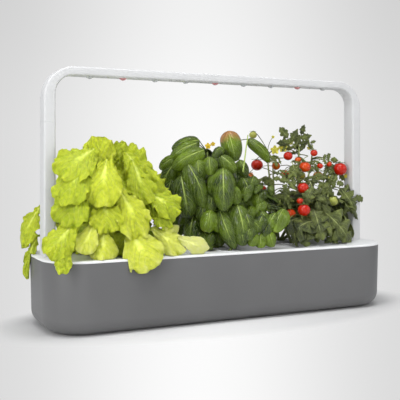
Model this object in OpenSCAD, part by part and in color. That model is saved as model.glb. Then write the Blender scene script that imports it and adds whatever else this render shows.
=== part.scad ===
// Countertop hydroponic garden: a water tank with a drop-in lid, three trays of
// three plant cups, a float gauge and a lamp arch that stands on plug-together arms.
// X runs along the tank, Y from front to back, Z up. The origin is on the table,
// under the middle of the tank.

/* [Tank] */
// Length of the tank over its rim
tank_length = 620; // [600:1:660]
// Depth of the tank over its rim, front to back
tank_depth = 185; // [182:1:200]
// Height of the tank's rim above the table
rim_height = 109; // [106:0.5:125]
// Radius of the tank's corners, seen from above
corner_radius = 62; // [50:1:70]
// Radius of the rounded edge round the floor
bottom_radius = 23; // [14:1:28]
// How far each side leans in between rim and floor
wall_draft = 2.5; // [0:0.5:4]
// Thickness of the tank's walls and floor
tank_wall = 3; // [2.4:0.1:3.6]

/* [Rubber feet] */
// Distance from each end of the tank to its nearer outer foot
foot_inset = 90; // [75:1:160]
// Width of a foot strip
foot_width = 14; // [8:0.5:24]
// Length of a foot strip, front to back
foot_length = 124; // [60:1:130]
// Height of a foot strip
foot_height = 2; // [1.6:0.1:3]
// Depth of the pocket that a foot strip is glued in
foot_pocket = 0.8; // [0.4:0.1:1.2]

/* [Lid] */
// Height of the lid's edge above the tank's rim
lid_rise = 3.4; // [3:0.1:5]
// Width of the raised border, front and back
border_width = 12.5; // [10:0.5:15]
// Length of the flat shelf at each end of the lid
end_shelf = 74; // [70:1:76]
// Corner radius of the sunk middle
recess_radius = 18; // [14:1:26]
// Depth of the sunk middle
recess_depth = 4; // [3.4:0.1:5]
// Thickness of the lid's moulding
lid_wall = 2.6; // [2:0.1:3]
// How far the lid's skirt reaches into the tank
skirt_depth = 10; // [6:0.5:12]
// Running gap between parts that lift apart
lift_gap = 0.4; // [0.3:0.05:0.6]

/* [Trays and cups] */
// Gap between two trays
tray_gap = 12; // [12:0.5:18]
// Gap between an outer tray and the end of the sunk middle
tray_end_gap = 5; // [4:0.5:10]
// Gap in front of and behind each tray
tray_front_gap = 6; // [5:0.5:9]
// Thickness of a tray's top
tray_top = 2.2; // [1.8:0.1:3]
// Height that a tray is drawn up to lift it out
tray_lift = 60; // [50:1:60]
// Width of the ledge that a tray rests on
tray_ledge = 6; // [4:0.5:8]
// How far a tray's side walls hang below the ledge
tray_skirt = 9; // [6:0.5:16]
// Gap between the flanges of two cups
cup_gap = 2.6; // [1:0.1:6]
// Wall of the tray's collar round a cup
cup_collar = 2; // [1.4:0.1:2.6]
// Outer radius of a cup at its floor
cup_foot_radius = 15; // [12:0.25:16]
// Height of a cup under its flange
cup_height = 50; // [40:1:60]
// Wall thickness of a cup
cup_wall = 1.4; // [1:0.1:2]
// Width of the flange round a cup's mouth
cup_flange = 3; // [2:0.25:3]
// Height of the growing block in a cup
block_height = 40; // [30:1:46]
// Width of a wick
wick_width = 9; // [6:0.5:12]
// Thickness of a wick
wick_thickness = 2.4; // [1.6:0.1:4]
// Gap between a wick's end and the tank's floor
wick_gap = 3; // [1:0.5:10]

/* [Float gauge] */
// Distance of the float from the tank's right end
float_inset = 52; // [50:1:54]
// Distance of the float's stem behind the tank's middle
float_y = 44; // [40:1:48]
// Radius of the float's stem
stem_radius = 2.5; // [2:0.1:3]
// Gap round the stem in its guide
stem_gap = 0.08; // [0.03:0.01:0.1]
// Radius of the float
float_radius = 11; // [8:0.5:12]
// Height of the float
float_height = 30; // [20:1:34]
// Rise of the float from empty to full
float_travel = 30; // [20:1:32]
// Radius of the gauge's cap
cap_radius = 7; // [5:0.5:9]
// Width of the filling hole, side to side
fill_width = 32; // [28:0.5:34]
// Length of the filling hole, front to back
fill_length = 64; // [50:1:66]

/* [Lamp arms] */
// Distance of each arm's outer face from the end of the tank
arm_inset = 9.5; // [8:0.5:12.5]
// Thickness of an arm, side to side
arm_thickness = 18.5; // [16:0.5:20]
// Depth of an arm, front to back
arm_depth = 28; // [24:0.5:34]
// Length of one arm piece
arm_length = 103.3; // [80:0.1:140]
// Radius of the arms' long edges
arm_edge = 3; // [1:0.25:4]
// Wall thickness of an arm
arm_wall = 2; // [1.6:0.1:2.4]
// Length of the plug at the foot of each arm
plug_length = 16; // [10:0.5:20]
// Gap round a plug in its socket
plug_gap = 0.3; // [0.2:0.05:0.5]

/* [Lamp] */
// Height of the arch above its seam with the arms
arch_height = 88; // [70:1:120]
// Thickness of the arch's bar
bar_thickness = 14; // [12:0.5:20]
// Outer radius of the arch's corners
arch_radius = 50; // [36:1:70]
// Inner radius of the arch's corners
arch_inner_radius = 30; // [18:1:40]
// Distance from the middle of an end lens to the end of the cover
lens_margin = 26; // [24:0.5:44]
// Radius of a lens at the bar's cover
lens_radius = 6; // [4:0.25:7]
// How far a lens stands out of the cover
lens_drop = 3.6; // [2:0.1:5]
// Distance from the end of the cover to the bend in the arch
cover_inset = 0.5; // [0.5:0.5:8]
// Thickness of the cover under the bar
cover_thickness = 1.8; // [1.4:0.1:2.4]
// Thickness of the circuit board
board_thickness = 1.6; // [1:0.1:2]

/* [Power] */
// Distance of the power socket from the tank's left end
inlet_inset = 61; // [58:1:62]
// Width of the power socket's block
inlet_width = 14; // [12:0.5:16]
// Radius of the plug hole in the power socket
inlet_bore = 2.9; // [2.5:0.1:3.2]
// Depth of the plug hole
inlet_depth = 10; // [8:0.5:12]
// Radius of the centre pin
inlet_pin_radius = 1.05; // [0.8:0.05:1.3]

/* [Plants] */
// Height of the lettuce above the lid
lettuce_height = 178; // [140:1:190]
// Height of the basil above the lid
basil_height = 184; // [140:1:195]
// Height of the tomato plants above the lid
tomato_height = 200; // [150:1:205]
// Thickness of a lettuce leaf
lettuce_leaf = 1.6; // [1.2:0.1:2.4]
// Thickness of a basil leaf
basil_leaf = 1.4; // [1:0.1:2]
// Thickness of a tomato leaf
tomato_leaf = 1.3; // [1:0.1:2]
// Radius of a lettuce plant's stem at its foot
lettuce_stem = 7; // [5:0.5:9]
// Radius of a basil plant's stem at its foot
basil_stem = 3.4; // [2.5:0.1:5]
// Radius of a tomato plant's stem at its foot
tomato_stem = 3.8; // [2.5:0.1:5]

/* [Hidden] */
sides = ["left", "right"];
places = ["left", "middle", "right"];
cup_names = [for (i = [1:9]) str("cup_", i)];

$fn = 48;
tank_colour = "dimgray";
white_plastic = "whitesmoke";
rubber_colour = "black";
black_plastic = [0.12, 0.12, 0.13];
brass_colour = [0.8, 0.65, 0.3];
board_colour = [0.85, 0.87, 0.85];
block_colour = [0.25, 0.17, 0.11];
wick_colour = [0.9, 0.88, 0.8];
lens_colour = [0.93, 0.94, 0.95];
red_lens_colour = [0.95, 0.35, 0.4];
lettuce_colour = [0.72, 0.82, 0.22];
basil_colour = [0.24, 0.42, 0.15];
tomato_leaf_colour = [0.27, 0.37, 0.19];
fruit_colour = [0.85, 0.2, 0.12];

// Heights that the pieces share
tank_floor = foot_height - foot_pocket;
lid_top = rim_height + lid_rise;
recess_floor = lid_top - recess_depth;
lid_underside = recess_floor - lid_wall;
tray_surface = recess_floor + tray_top;
seam_height = lid_top + 2 * arm_length;
lamp_top = seam_height + arch_height;
bar_bottom = lamp_top - bar_thickness;

// Plan of the lid, its trays and their cups
recess_length = tank_length - 2 * end_shelf;
recess_width = tank_depth - 2 * border_width;
tray_width = (recess_length - 2 * tray_end_gap - 2 * tray_gap) / 3;
tray_length = recess_width - 2 * tray_front_gap;
tray_pitch = tray_width + tray_gap;
window_width = tray_width - 2 * tray_ledge;
window_length = tray_length - 2 * tray_ledge;
skirt_length = window_length - 2 * lift_gap;
cup_radius = (skirt_length - 4 * cup_flange - 2 * cup_gap - 2 * cup_collar) / 6;
cup_pitch = 2 * (cup_radius + cup_flange) + cup_gap;
foot_pitch = tank_length / 2 - foot_inset;
float_x = tank_length / 2 - float_inset;
inlet_x = inlet_inset - tank_length / 2;

// Plan of the arms and the lamp
arm_span = tank_length - 2 * arm_inset;
arm_x = arm_span / 2 - arm_thickness / 2;
cover_length = arm_span - 2 * (arch_radius + cover_inset);
lens_pitch = (cover_length - 2 * lens_margin) / 8;
bore_x = arm_thickness - 2 * arm_wall;
bore_y = arm_depth - 2 * arm_wall;
plug_x = bore_x - 2 * plug_gap;
plug_y = bore_y - 2 * plug_gap;
block_top = tray_surface - cup_height + cup_wall + block_height + 6.6;
tiny = 0.01;

// ---- Shared shapes -------------------------------------------------------

// Outline of a rectangle with round corners
module rounded(width, length, radius) {
    square([width - 2 * radius, length], center = true);
    square([width, length - 2 * radius], center = true);
    for (x = [-1, 1], y = [-1, 1])
        translate([x * (width / 2 - radius), y * (length / 2 - radius)]) circle(radius);
}

module slab(width, length, radius, bottom, top) {
    translate([0, 0, bottom]) linear_extrude(top - bottom) rounded(width, length, radius);
}

// Closed ring of points round a rounded rectangle, at one height
function ring(width, length, radius, z, steps) = [
    for (q = [0:3], i = [0:steps])
        let (a = 90 * (q + i / steps),
             cx = (q == 0 || q == 3 ? 1 : -1) * (width / 2 - radius),
             cy = (q < 2 ? 1 : -1) * (length / 2 - radius))
        [cx + radius * cos(a), cy + radius * sin(a), z]
];

// Solid through a stack of rings that all have as many points
module skin(rings) {
    n = len(rings[0]);
    last = len(rings) - 1;
    polyhedron(
        points = [for (r = rings) each r],
        faces = concat(
            [[for (i = [0:n - 1]) i]],
            [for (k = [0:last - 1], i = [0:n - 1])
                let (j = (i + 1) % n)
                each [[k * n + i, (k + 1) * n + i, (k + 1) * n + j],
                      [k * n + i, (k + 1) * n + j, k * n + j]]],
            [[for (i = [n - 1:-1:0]) last * n + i]]
        )
    );
}

// Repeatable number from 0 to 1 for a leaf or a fruit
function chance(i, k) = let (s = 43.7585 * sin(78.233 * i + 37.719 * k + 11.3)) s - floor(s);
function mix(a, b, t) = a + (b - a) * t;
function unit(v) = v / max(norm(v), 1e-9);

// Turns a point by an azimuth about Z, where 0 faces +X
function turned(p, a) = [p.x * cos(a) - p.y * sin(a), p.x * sin(a) + p.y * cos(a), p.z];

function narrowed(p) = [p.x, narrowing * p.y, p.z];

// Middle line of a bending leaf: it leaves at angle rise and ends at angle fall
function spine(size, rise, fall, u) =
    let (bend = fall - rise, k = bend * PI / 180, a = rise + bend * u)
    abs(bend) < 1 ? [size * u * cos(rise), 0, size * u * sin(rise)]
    : [size / k * (sin(a) - sin(rise)), 0, -size / k * (cos(a) - cos(rise))];

// Point on a leaf's sheet. u runs from foot to tip and v from edge to edge.
// form = [length, half width, rise, fall, cup, ruffle, waves, fullness, twist, lobes]
function leaf_point(form, u, v) =
    let (lobe = form[9] > 0 ? 0.45 + 0.55 * abs(sin(180 * form[9] * u)) : 1,
         half = form[1] * lobe * (0.14 + 0.86 * pow(sin(180 * pow(u, form[7])), 0.75)),
         a = form[2] + (form[3] - form[2]) * u,
         edge = abs(v),
         lift = form[4] * edge * edge * half
              + form[5] * edge * edge * sin(360 * form[6] * u + (v > 0 ? 0 : 150)),
         roll = form[8] * u,
         side = half * v * (1 - 0.12 * edge * abs(form[4])),
         s = spine(form[0], form[2], form[3], u),
         across = side * cos(roll) - lift * sin(roll),
         up = side * sin(roll) + lift * cos(roll))
    s + [-up * sin(a), across, up * cos(a)];

function leaf_normal(form, u, v) =
    let (e = 0.02,
         du = leaf_point(form, min(u + e, 1), v) - leaf_point(form, max(u - e, 0), v),
         dv = leaf_point(form, u, min(v + e, 1)) - leaf_point(form, u, max(v - e, -1)))
    unit(cross(du, dv));

// Closed thin leaf of nu by nv panels, placed at a point and turned to an azimuth
module leaf(form, at, azimuth, thick, nu, nv) {
    rows = nu + 1;
    cols = nv + 1;
    count = rows * cols;
    flat = [for (i = [0:nu], j = [0:nv])
        let (u = 0.985 * i / nu, v = 2 * j / nv - 1)
        [leaf_point(form, u, v), leaf_normal(form, u, v)]];
    half = thick / 2;
    border = concat([for (j = [0:nv]) j],
                    [for (i = [1:nu]) i * cols + nv],
                    [for (j = [nv - 1:-1:0]) nu * cols + j],
                    [for (i = [nu - 1:-1:1]) i * cols]);
    edge = len(border);
    polyhedron(
        points = concat([for (p = flat) at + narrowed(turned(p[0] + half * p[1], azimuth))],
                        [for (p = flat) at + narrowed(turned(p[0] - half * p[1], azimuth))]),
        faces = concat(
            [for (i = [0:nu - 1], j = [0:nv - 1])
                let (a = i * cols + j, b = a + cols)
                each [[a, a + 1, b + 1], [a, b + 1, b]]],
            [for (i = [0:nu - 1], j = [0:nv - 1])
                let (a = count + i * cols + j, b = a + cols)
                each [[a, b + 1, a + 1], [a, b, b + 1]]],
            [for (k = [0:edge - 1])
                let (a = border[k], b = border[(k + 1) % edge])
                each [[a, count + a, count + b], [a, count + b, b]]]
        )
    );
}

// Tapering stalk between two points, with a hexagonal section
module stalk(from, to, start_radius, end_radius) {
    hull() {
        translate(from) sphere(start_radius, $fn = 6);
        translate(to) sphere(end_radius, $fn = 6);
    }
}

// ---- Tank ----------------------------------------------------------------

// Ring round the tank at a height, taken in by the draft and the rounded edge
function tank_ring(inset, z) =
    ring(tank_length - 2 * inset, tank_depth - 2 * inset, corner_radius - inset, z, 9);
function draft_at(z) = wall_draft * (rim_height - z) / (rim_height - tank_floor);
function rounding(radius, steps, floor_z, wall) = [
    for (i = [0:steps])
        let (a = 90 * i / steps, z = floor_z + radius * (1 - cos(a)))
        tank_ring(wall + draft_at(z) + radius * (1 - sin(a)), z)
];

module tank() {
    inner_edge = bottom_radius - tank_wall;
    color(tank_colour) difference() {
        skin(concat(rounding(bottom_radius, 7, tank_floor, 0),
                    [tank_ring(draft_at(rim_height), rim_height)]));
        skin(concat(rounding(inner_edge, 6, tank_floor + tank_wall, tank_wall),
                    [tank_ring(tank_wall, rim_height + tiny)]));
        for (i = [-1:1])
            slab_at(i * foot_pitch, foot_width, foot_length, tank_floor - tiny, foot_height);
        translate([inlet_x, tank_depth / 2 - tank_wall - wall_draft, rim_height])
            notch(inlet_width + 2 * lift_gap, tank_wall + wall_draft + 2);
    }
}

module slab_at(x, width, length, bottom, top) {
    translate([x, 0, 0]) slab(width, length, width / 2 - tiny, bottom, top);
}

// Open-topped notch in the back wall, round at its foot
module notch(width, reach) {
    depth = rim_height - inlet_bottom + lift_gap;
    translate([-width / 2, -1, -depth]) cube([width, reach + 1, depth + 1]);
}

module foot_strip(i) {
    color(rubber_colour) slab_at(i * foot_pitch, foot_width, foot_length, 0, foot_height);
}

// ---- Lid -----------------------------------------------------------------

function lid_ring(inset, z) =
    ring(tank_length - 2 * inset, tank_depth - 2 * inset, corner_radius - inset, z, 11);
function recess_ring(grow, z) =
    ring(recess_length + 2 * grow, recess_width + 2 * grow, recess_radius + grow, z, 6);

module lid() {
    skirt = tank_wall + lift_gap;
    color(white_plastic) difference() {
        union() {
            skin([lid_ring(0, rim_height), lid_ring(0, lid_top - 1.4),
                  lid_ring(0.4, lid_top - 0.5), lid_ring(1.3, lid_top)]);
            difference() {
                skin([for (z = [rim_height - skirt_depth, rim_height + tiny])
                    lid_ring(skirt + draft_at(z), z)]);
                skin([for (z = [rim_height - skirt_depth - tiny, rim_height])
                    lid_ring(skirt + lid_wall + draft_at(z), z)]);
            }
            skin([recess_ring(lid_wall, lid_underside), recess_ring(lid_wall, rim_height + tiny)]);
            for (s = [-1, 1]) translate([s * arm_x, 0, 0]) socket_block();
            translate([float_x, 0, 0]) fill_collar();
            control_bosses();
            inlet_seat();
        }
        skin([recess_ring(-1.2, recess_floor), recess_ring(-0.3, recess_floor + 0.5),
              recess_ring(0, recess_floor + 1.4), recess_ring(0, lid_top - 1),
              recess_ring(0.9, lid_top + tiny)]);
        for (i = [-1:1]) translate([i * tray_pitch, 0, 0])
            slab(window_width, window_length, recess_radius / 2, lid_underside - 1, lid_top);
        for (s = [-1, 1]) translate([s * arm_x, 0, 0]) socket_hole();
        translate([float_x, 0, 0]) fill_hole();
        power_clearance();
    }
}

socket_wall = 2;
socket_bottom = rim_height - plug_length - 3;
socket_hole_x = bore_x - 6.6;
socket_hole_y = bore_y - 10.6;
// Block under each end of the lid, which holds an arm's plug
module socket_block() {
    slab(bore_x + 2 * socket_wall, bore_y + 2 * socket_wall, socket_wall,
         socket_bottom, rim_height + tiny);
}
module socket_hole() {
    slab(bore_x, bore_y, plug_edge, lid_top - plug_length - 1, lid_top + 1);
    slab(socket_hole_x, socket_hole_y, plug_edge, socket_bottom - 1, lid_top);
}

// Filling hole beside the right tray, and the guide behind it for the float's stem
cap_pocket = 3;
module fill_collar() {
    slab(fill_width + 2 * lid_wall, fill_length + 2 * lid_wall, fill_width / 4 + lid_wall,
         lid_underside, rim_height + tiny);
    translate([0, float_y, lid_underside])
        cylinder(r = cap_radius + lid_wall, h = rim_height + tiny - lid_underside);
}
module fill_hole() {
    slab(fill_width, fill_length, fill_width / 4, lid_underside - 1, lid_top + 1);
    translate([0, float_y, lid_underside - 1])
        cylinder(r = stem_radius + stem_gap, h = lid_top - lid_underside + 2);
    translate([0, float_y, lid_top - cap_pocket])
        cylinder(r = cap_radius + lift_gap, h = cap_pocket + 1);
}

// ---- Power socket and control board, under the lid's left end ------------

control_x = [24, 69] - [tank_length / 2, tank_length / 2];
control_y = [arm_depth / 2 + 6, tank_depth / 2 - 24.5];
control_depth = 14;
control_floor = 2;
control_wall = 1.6;
board_gap = 5;
board_inset = [2.4, 11];
post_radius = 1.8;
post_inset = 4;
lead_inset = 14;
lead_gap = 3;
board_level = rim_height - board_gap - board_thickness;
wire_radius = 0.7;
cover_bottom = rim_height - control_depth;
boss_radius = 3;
screw_radius = 1.2;
screw_head = 1.2;
screw_head_radius = 2.3;
boss_inset = 6;
boss_places = [for (x = [control_x[0] + boss_inset, control_x[1] - boss_inset],
                    y = [control_y[0] + boss_inset, control_y[1] - boss_inset]) [x, y]];
inlet_bottom = cover_bottom + control_floor;
inlet_top = inlet_bottom + 8.6;
inlet_front = control_y[1] - 2;
inlet_back = tank_depth / 2 - 1.2;

// Opening in the lid's skirt for the power socket
module power_clearance() {
    translate([inlet_x - inlet_width / 2 - lift_gap, control_y[1] + 4, inlet_bottom - lift_gap])
        cube([inlet_width + 2 * lift_gap, tank_depth, inlet_top - inlet_bottom + lift_gap]);
    translate([inlet_x - inlet_width / 2 - lift_gap, inlet_seat_end, inlet_bottom - lift_gap])
        cube([inlet_width + 2 * lift_gap, tank_depth, rim_height - inlet_bottom + lift_gap - tiny]);
}

// Rib of the lid that holds the power socket down on the control cover's floor
inlet_seat_end = tank_depth / 2 - 14;
module inlet_seat() {
    translate([inlet_x - inlet_width / 4, inlet_front + 4, inlet_top])
        cube([inlet_width / 2, inlet_seat_end - inlet_front - 4, rim_height + tiny - inlet_top]);
}

module control_bosses() {
    for (p = boss_places) translate([p.x, p.y, cover_bottom + control_floor])
        difference() {
            cylinder(r = boss_radius, h = control_depth - control_floor + tiny);
            translate([0, 0, -1]) cylinder(r = screw_radius, h = screw_reach + 2);
        }
}

module control_cover() {
    size = [control_x[1] - control_x[0], control_y[1] - control_y[0]];
    color(white_plastic) difference() {
        translate([control_x[0], control_y[0], cover_bottom]) cube([size.x, size.y, control_depth]);
        translate([control_x[0] + control_wall, control_y[0] + control_wall, inlet_bottom])
            cube([size.x - 2 * control_wall, size.y - 2 * control_wall, control_depth]);
        translate([inlet_x - inlet_width / 2, inlet_front - 1, inlet_bottom])
            cube([inlet_width, 2 + size.y, control_depth]);
        for (p = boss_places) translate([p.x, p.y, cover_bottom - 1])
            cylinder(r = screw_radius, h = control_floor + 2);
        translate([control_x[0] + lead_inset - 2.5, control_y[0] - 1, board_level - 3])
            cube([lead_gap + 5, 4, control_depth]);
    }
    color(white_plastic) for (x = board_x, y = board_y)
        translate([x, y, inlet_bottom - tiny])
            cylinder(r = post_radius, h = board_level - inlet_bottom + tiny);
}

module cover_screws() {
    color("silver") for (p = boss_places) translate([p.x, p.y, cover_bottom - screw_head]) {
        cylinder(r = screw_head_radius, h = screw_head);
        cylinder(r = screw_radius, h = screw_head + control_floor + screw_reach);
    }
}

// Board on four posts of the cover, with a driver, a coil and a capacitor
board_x = [control_x[0] + board_inset.x + post_inset, control_x[1] - board_inset.x - post_inset];
board_y = [control_y[0] + board_inset.y + post_inset, control_y[1] - board_inset.y - post_inset];
module control_board() {
    x = [control_x[0] + board_inset.x, control_x[1] - board_inset.x];
    y = [control_y[0] + board_inset.y, control_y[1] - board_inset.y];
    top = board_level + board_thickness;
    color("darkgreen") translate([x[0], y[0], board_level])
        cube([x[1] - x[0], y[1] - y[0], board_thickness]);
    color(black_plastic) {
        translate([x[0] + 8, y[0] + 6, top - tiny]) cube([10, 9, 2.4]);
        translate([x[0] + 28, y[0] + 8, top - tiny]) cylinder(r = 4, h = board_gap - 1);
        translate([x[0] + 24, y[0] + 15, top - tiny]) cube([8, 8, 3.2]);
    }
}

// Block of the power socket, whose mouth faces back through the tank's notch
module power_socket() {
    color(black_plastic) difference() {
        translate([inlet_x - inlet_width / 2 + 0.2, inlet_front, inlet_bottom])
            cube([inlet_width - 0.4, inlet_back - inlet_front, inlet_top - inlet_bottom]);
        translate([inlet_x, inlet_back + tiny, (inlet_bottom + inlet_top) / 2]) rotate([90, 0, 0])
            cylinder(r = inlet_bore, h = inlet_depth);
    }
}

module power_pin() {
    translate([inlet_x, inlet_back - inlet_depth + tiny, (inlet_bottom + inlet_top) / 2])
        rotate([-90, 0, 0])
            color(brass_colour) cylinder(r = inlet_pin_radius, h = inlet_depth - 1);
}

// Two contact strips run up inside the left arm, side by side in Y
strip_y = 5;
strip_width = 3;
strip_thickness = 0.8;
module contact_strips(bottom, top, offset_x) {
    for (s = [-1, 1])
        translate([-arm_x + offset_x - strip_thickness / 2, s * strip_y - strip_width / 2, bottom])
            cube([strip_thickness, strip_width, top - bottom]);
}

module lid_contacts() {
    color(black_plastic)
        translate([-arm_x - 4, -socket_hole_y / 2 - 2, socket_bottom - contact_block])
            cube([8, socket_hole_y + 4, contact_block]);
    color(brass_colour) contact_strips(socket_bottom - tiny, lid_top - 4, -contact_side);
}

// Two wires from the board to the lid's contacts, under the arm's socket
module lead_wires() {
    level = board_level - wire_radius;
    low = socket_bottom - contact_block / 2;
    y = [control_y[0] + board_inset.y + 3, control_y[0] - 3, socket_hole_y / 2 + 1];
    for (s = [0, 1]) {
        x = [control_x[0] + lead_inset + lead_gap * s, -arm_x + 1 + lead_gap * s];
        color(["firebrick", "dimgray"][s]) wire([
            [x[0], y[0], level], [x[0], y[1], level], [x[0], y[1], low], [x[1], y[2], low]]);
    }
}

module wire(path) {
    for (i = [0:len(path) - 2]) {
        run = path[i + 1] - path[i];
        translate(path[i])
            rotate([0, acos(run.z / norm(run)), atan2(run.y, run.x)])
                cylinder(r = wire_radius, h = norm(run), $fn = 24);
        if (i > 0) translate(path[i]) sphere(wire_radius, $fn = 24);
    }
}

// ---- Trays, cups, growing blocks and wicks -------------------------------

tray_edge = 0.7;
cup_play = 0.3;
tray_corner = recess_radius - tray_end_gap;
module tray(i) {
    skirt_outer = [window_width - 2 * lift_gap, skirt_length];
    color(white_plastic) translate([i * tray_pitch, 0, 0]) difference() {
        union() {
            slab(tray_width, tray_length, tray_corner, recess_floor, tray_surface - tray_edge);
            slab(tray_width - 2 * tray_edge, tray_length - 2 * tray_edge, tray_corner - tray_edge,
                 tray_surface - tray_edge, tray_surface);
            difference() {
                slab(skirt_outer.x, skirt_outer.y, recess_radius / 2 - lift_gap,
                     lid_underside - tray_skirt, recess_floor + tiny);
                slab(skirt_outer.x - 4, skirt_outer.y - 4, recess_radius / 2 - lift_gap - 2,
                     lid_underside - tray_skirt - 1, recess_floor);
            }
            for (j = [-1:1]) translate([0, j * cup_pitch, lid_underside - tray_skirt + 2])
                cylinder(r = cup_radius + cup_collar, h = tray_skirt + lid_wall);
            for (s = [-1, 1]) translate([s * skirt_outer.x / 4 + s * cup_radius / 2, 0, 0])
                translate([-0.8, -skirt_outer.y / 2 + 1, recess_floor - 6])
                    cube([1.6, skirt_outer.y - 2, 6 + tiny]);
        }
        for (j = [-1:1]) translate([0, j * cup_pitch, lid_underside - tray_skirt])
            cylinder(r = cup_radius + cup_play, h = 40);
    }
}

function cup_place(n) = [(floor((n - 1) / 3) - 1) * tray_pitch, ((n - 1) % 3 - 1) * cup_pitch];

module cup(n) {
    low = tray_surface - cup_height;
    top = tray_surface + 1.6;
    color(white_plastic) translate([cup_place(n).x, cup_place(n).y, 0]) difference() {
        rotate_extrude() polygon([
            [wick_width / 2 + 0.4, low], [cup_foot_radius, low],
            [cup_radius, tray_surface - 8], [cup_radius, tray_surface],
            [cup_radius + cup_flange - 0.5, tray_surface], [cup_radius + cup_flange, tray_surface + 0.5],
            [cup_radius + cup_flange, top - 0.4], [cup_radius + cup_flange - 0.6, top],
            [cup_radius - cup_wall, top], [cup_radius - cup_wall, tray_surface - 8],
            [cup_foot_radius - cup_wall, low + cup_wall], [wick_width / 2 + 0.4, low + cup_wall]
        ]);
        for (a = [0:60:300]) rotate([0, 0, a + 30])
            translate([cup_foot_radius - 5, -1.5, low + 6]) cube([12, 3, 18]);
    }
}

module growing_blocks(i) {
    low = tray_surface - cup_height + cup_wall;
    inner = cup_radius - cup_wall;
    inner_foot = cup_foot_radius - cup_wall;
    bend = tray_surface - 8;
    color(block_colour) for (j = [-1:1]) translate([i * tray_pitch, j * cup_pitch, 0])
        rotate_extrude() polygon([
            [0, low], [inner_foot - 0.2, low], [inner - 0.2, bend],
            [inner - 0.2, block_top - 2.6], [inner - 3, block_top - 0.6], [0, block_top]
        ]);
}

module wicks(i) {
    low = tank_floor + tank_wall + wick_gap;
    top = tray_surface - cup_height + cup_wall;
    color(wick_colour) for (j = [-1:1]) translate([i * tray_pitch, j * cup_pitch, 0])
        translate([-wick_width / 2, -wick_thickness / 2, low])
            cube([wick_width, wick_thickness, top - low]);
}

// ---- Float gauge ---------------------------------------------------------

float_top = lid_underside - float_travel - 2;
module gauge_cap() {
    color(white_plastic) translate([float_x, float_y, 0]) difference() {
        union() {
            translate([0, 0, lid_top - 3]) cylinder(r = cap_radius, h = 2.4);
            translate([0, 0, lid_top - 0.6 - tiny]) cylinder(r1 = cap_radius, r2 = cap_radius - 1, h = 1);
        }
        translate([0, 0, lid_top - 4]) cylinder(r = stem_radius, h = 3);
    }
}
module gauge_stem() {
    color(white_plastic) translate([float_x, float_y, float_top - float_height + 4])
        cylinder(r = stem_radius, h = lid_top - 1 - float_top + float_height - 4);
}
module gauge_float() {
    low = float_top - float_height;
    color([0.95, 0.93, 0.88]) translate([float_x, float_y, 0]) rotate_extrude() polygon([
        [0, low], [float_radius - 3, low], [float_radius, low + 3], [float_radius, float_top - 3],
        [float_radius - 3, float_top], [stem_radius, float_top], [stem_radius, low + 4], [0, low + 4]
    ]);
}

// ---- Lamp arms -----------------------------------------------------------

// Hollow arm piece with an open socket on top and a plug at its foot
plug_edge = 0.7;
// Thickness of the floor over each plug, where the plug joins its arm
plug_root = 3;
plug_hole_x = plug_x - 2 * arm_wall;
plug_hole_y = plug_y - 2 * arm_wall;
module arm(side, bottom) {
    color(white_plastic) translate([side * arm_x, 0, 0]) difference() {
        union() {
            slab(arm_thickness, arm_depth, arm_edge, bottom, bottom + arm_length);
            slab(plug_x, plug_y, plug_edge, bottom - plug_length, bottom + 1);
        }
        slab(bore_x, bore_y, plug_edge, bottom + plug_root, bottom + arm_length + 1);
        plug_hole(bottom);
    }
}

module plug_hole(bottom) {
    slab(plug_hole_x, plug_hole_y, plug_edge / 2, bottom - plug_length - 1, bottom + plug_root + 1);
}

// Block that fills the hole in an arm's floor and holds its contact strips
contact_side = 1.4;
contact_block = 3;
module contact_holder(bottom) {
    color(black_plastic) translate([-arm_x - plug_hole_x / 2, -plug_hole_y / 2, bottom])
        cube([plug_hole_x, plug_hole_y, contact_block]);
    color(brass_colour) contact_strips(bottom - plug_length + 2, bottom + tiny, contact_side);
}

module arm_contacts(bottom) {
    contact_holder(bottom);
    color(brass_colour)
        contact_strips(bottom + contact_block - tiny, bottom + arm_length - 4, -contact_side);
}

// ---- Lamp ----------------------------------------------------------------

// Pairs of an outer and an inner point along the arch, from its left foot up and
// over to its right one
arch_steps = 9;
function arch_side(grow, foot, side) =
    let (outer = arm_span / 2 + grow, inner = arm_span / 2 - arm_thickness - grow,
         outer_bend = arch_radius + grow, inner_bend = arch_inner_radius - grow)
    concat([[[side * outer, foot], [side * inner, foot]]],
        [for (i = [0:arch_steps])
            let (a = 90 * i / arch_steps, u = 1 - cos(a), v = 1 - sin(a))
            [[side * (outer - outer_bend * u), lamp_top + grow - outer_bend * v],
             [side * (inner - inner_bend * u), bar_bottom - grow - inner_bend * v]]]);
function arch_profile(grow, foot) =
    concat(arch_side(grow, foot, -1), reversed(arch_side(grow, foot, 1)));

// Ring of the arch's section between an outer and an inner point
function section_ring(pair, depth, edge, steps) =
    let (o = pair[0], q = pair[1], length = norm(o - q), d = unit(o - q), m = (o + q) / 2)
    [for (p = ring(length, depth, edge, 0, steps)) [m.x + d.x * p.x, -p.y, m.y + d.y * p.x]];

module arch_solid(grow, foot, depth, edge, steps) {
    skin([for (pair = arch_profile(grow, foot)) section_ring(pair, depth, edge, steps)]);
}

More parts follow.
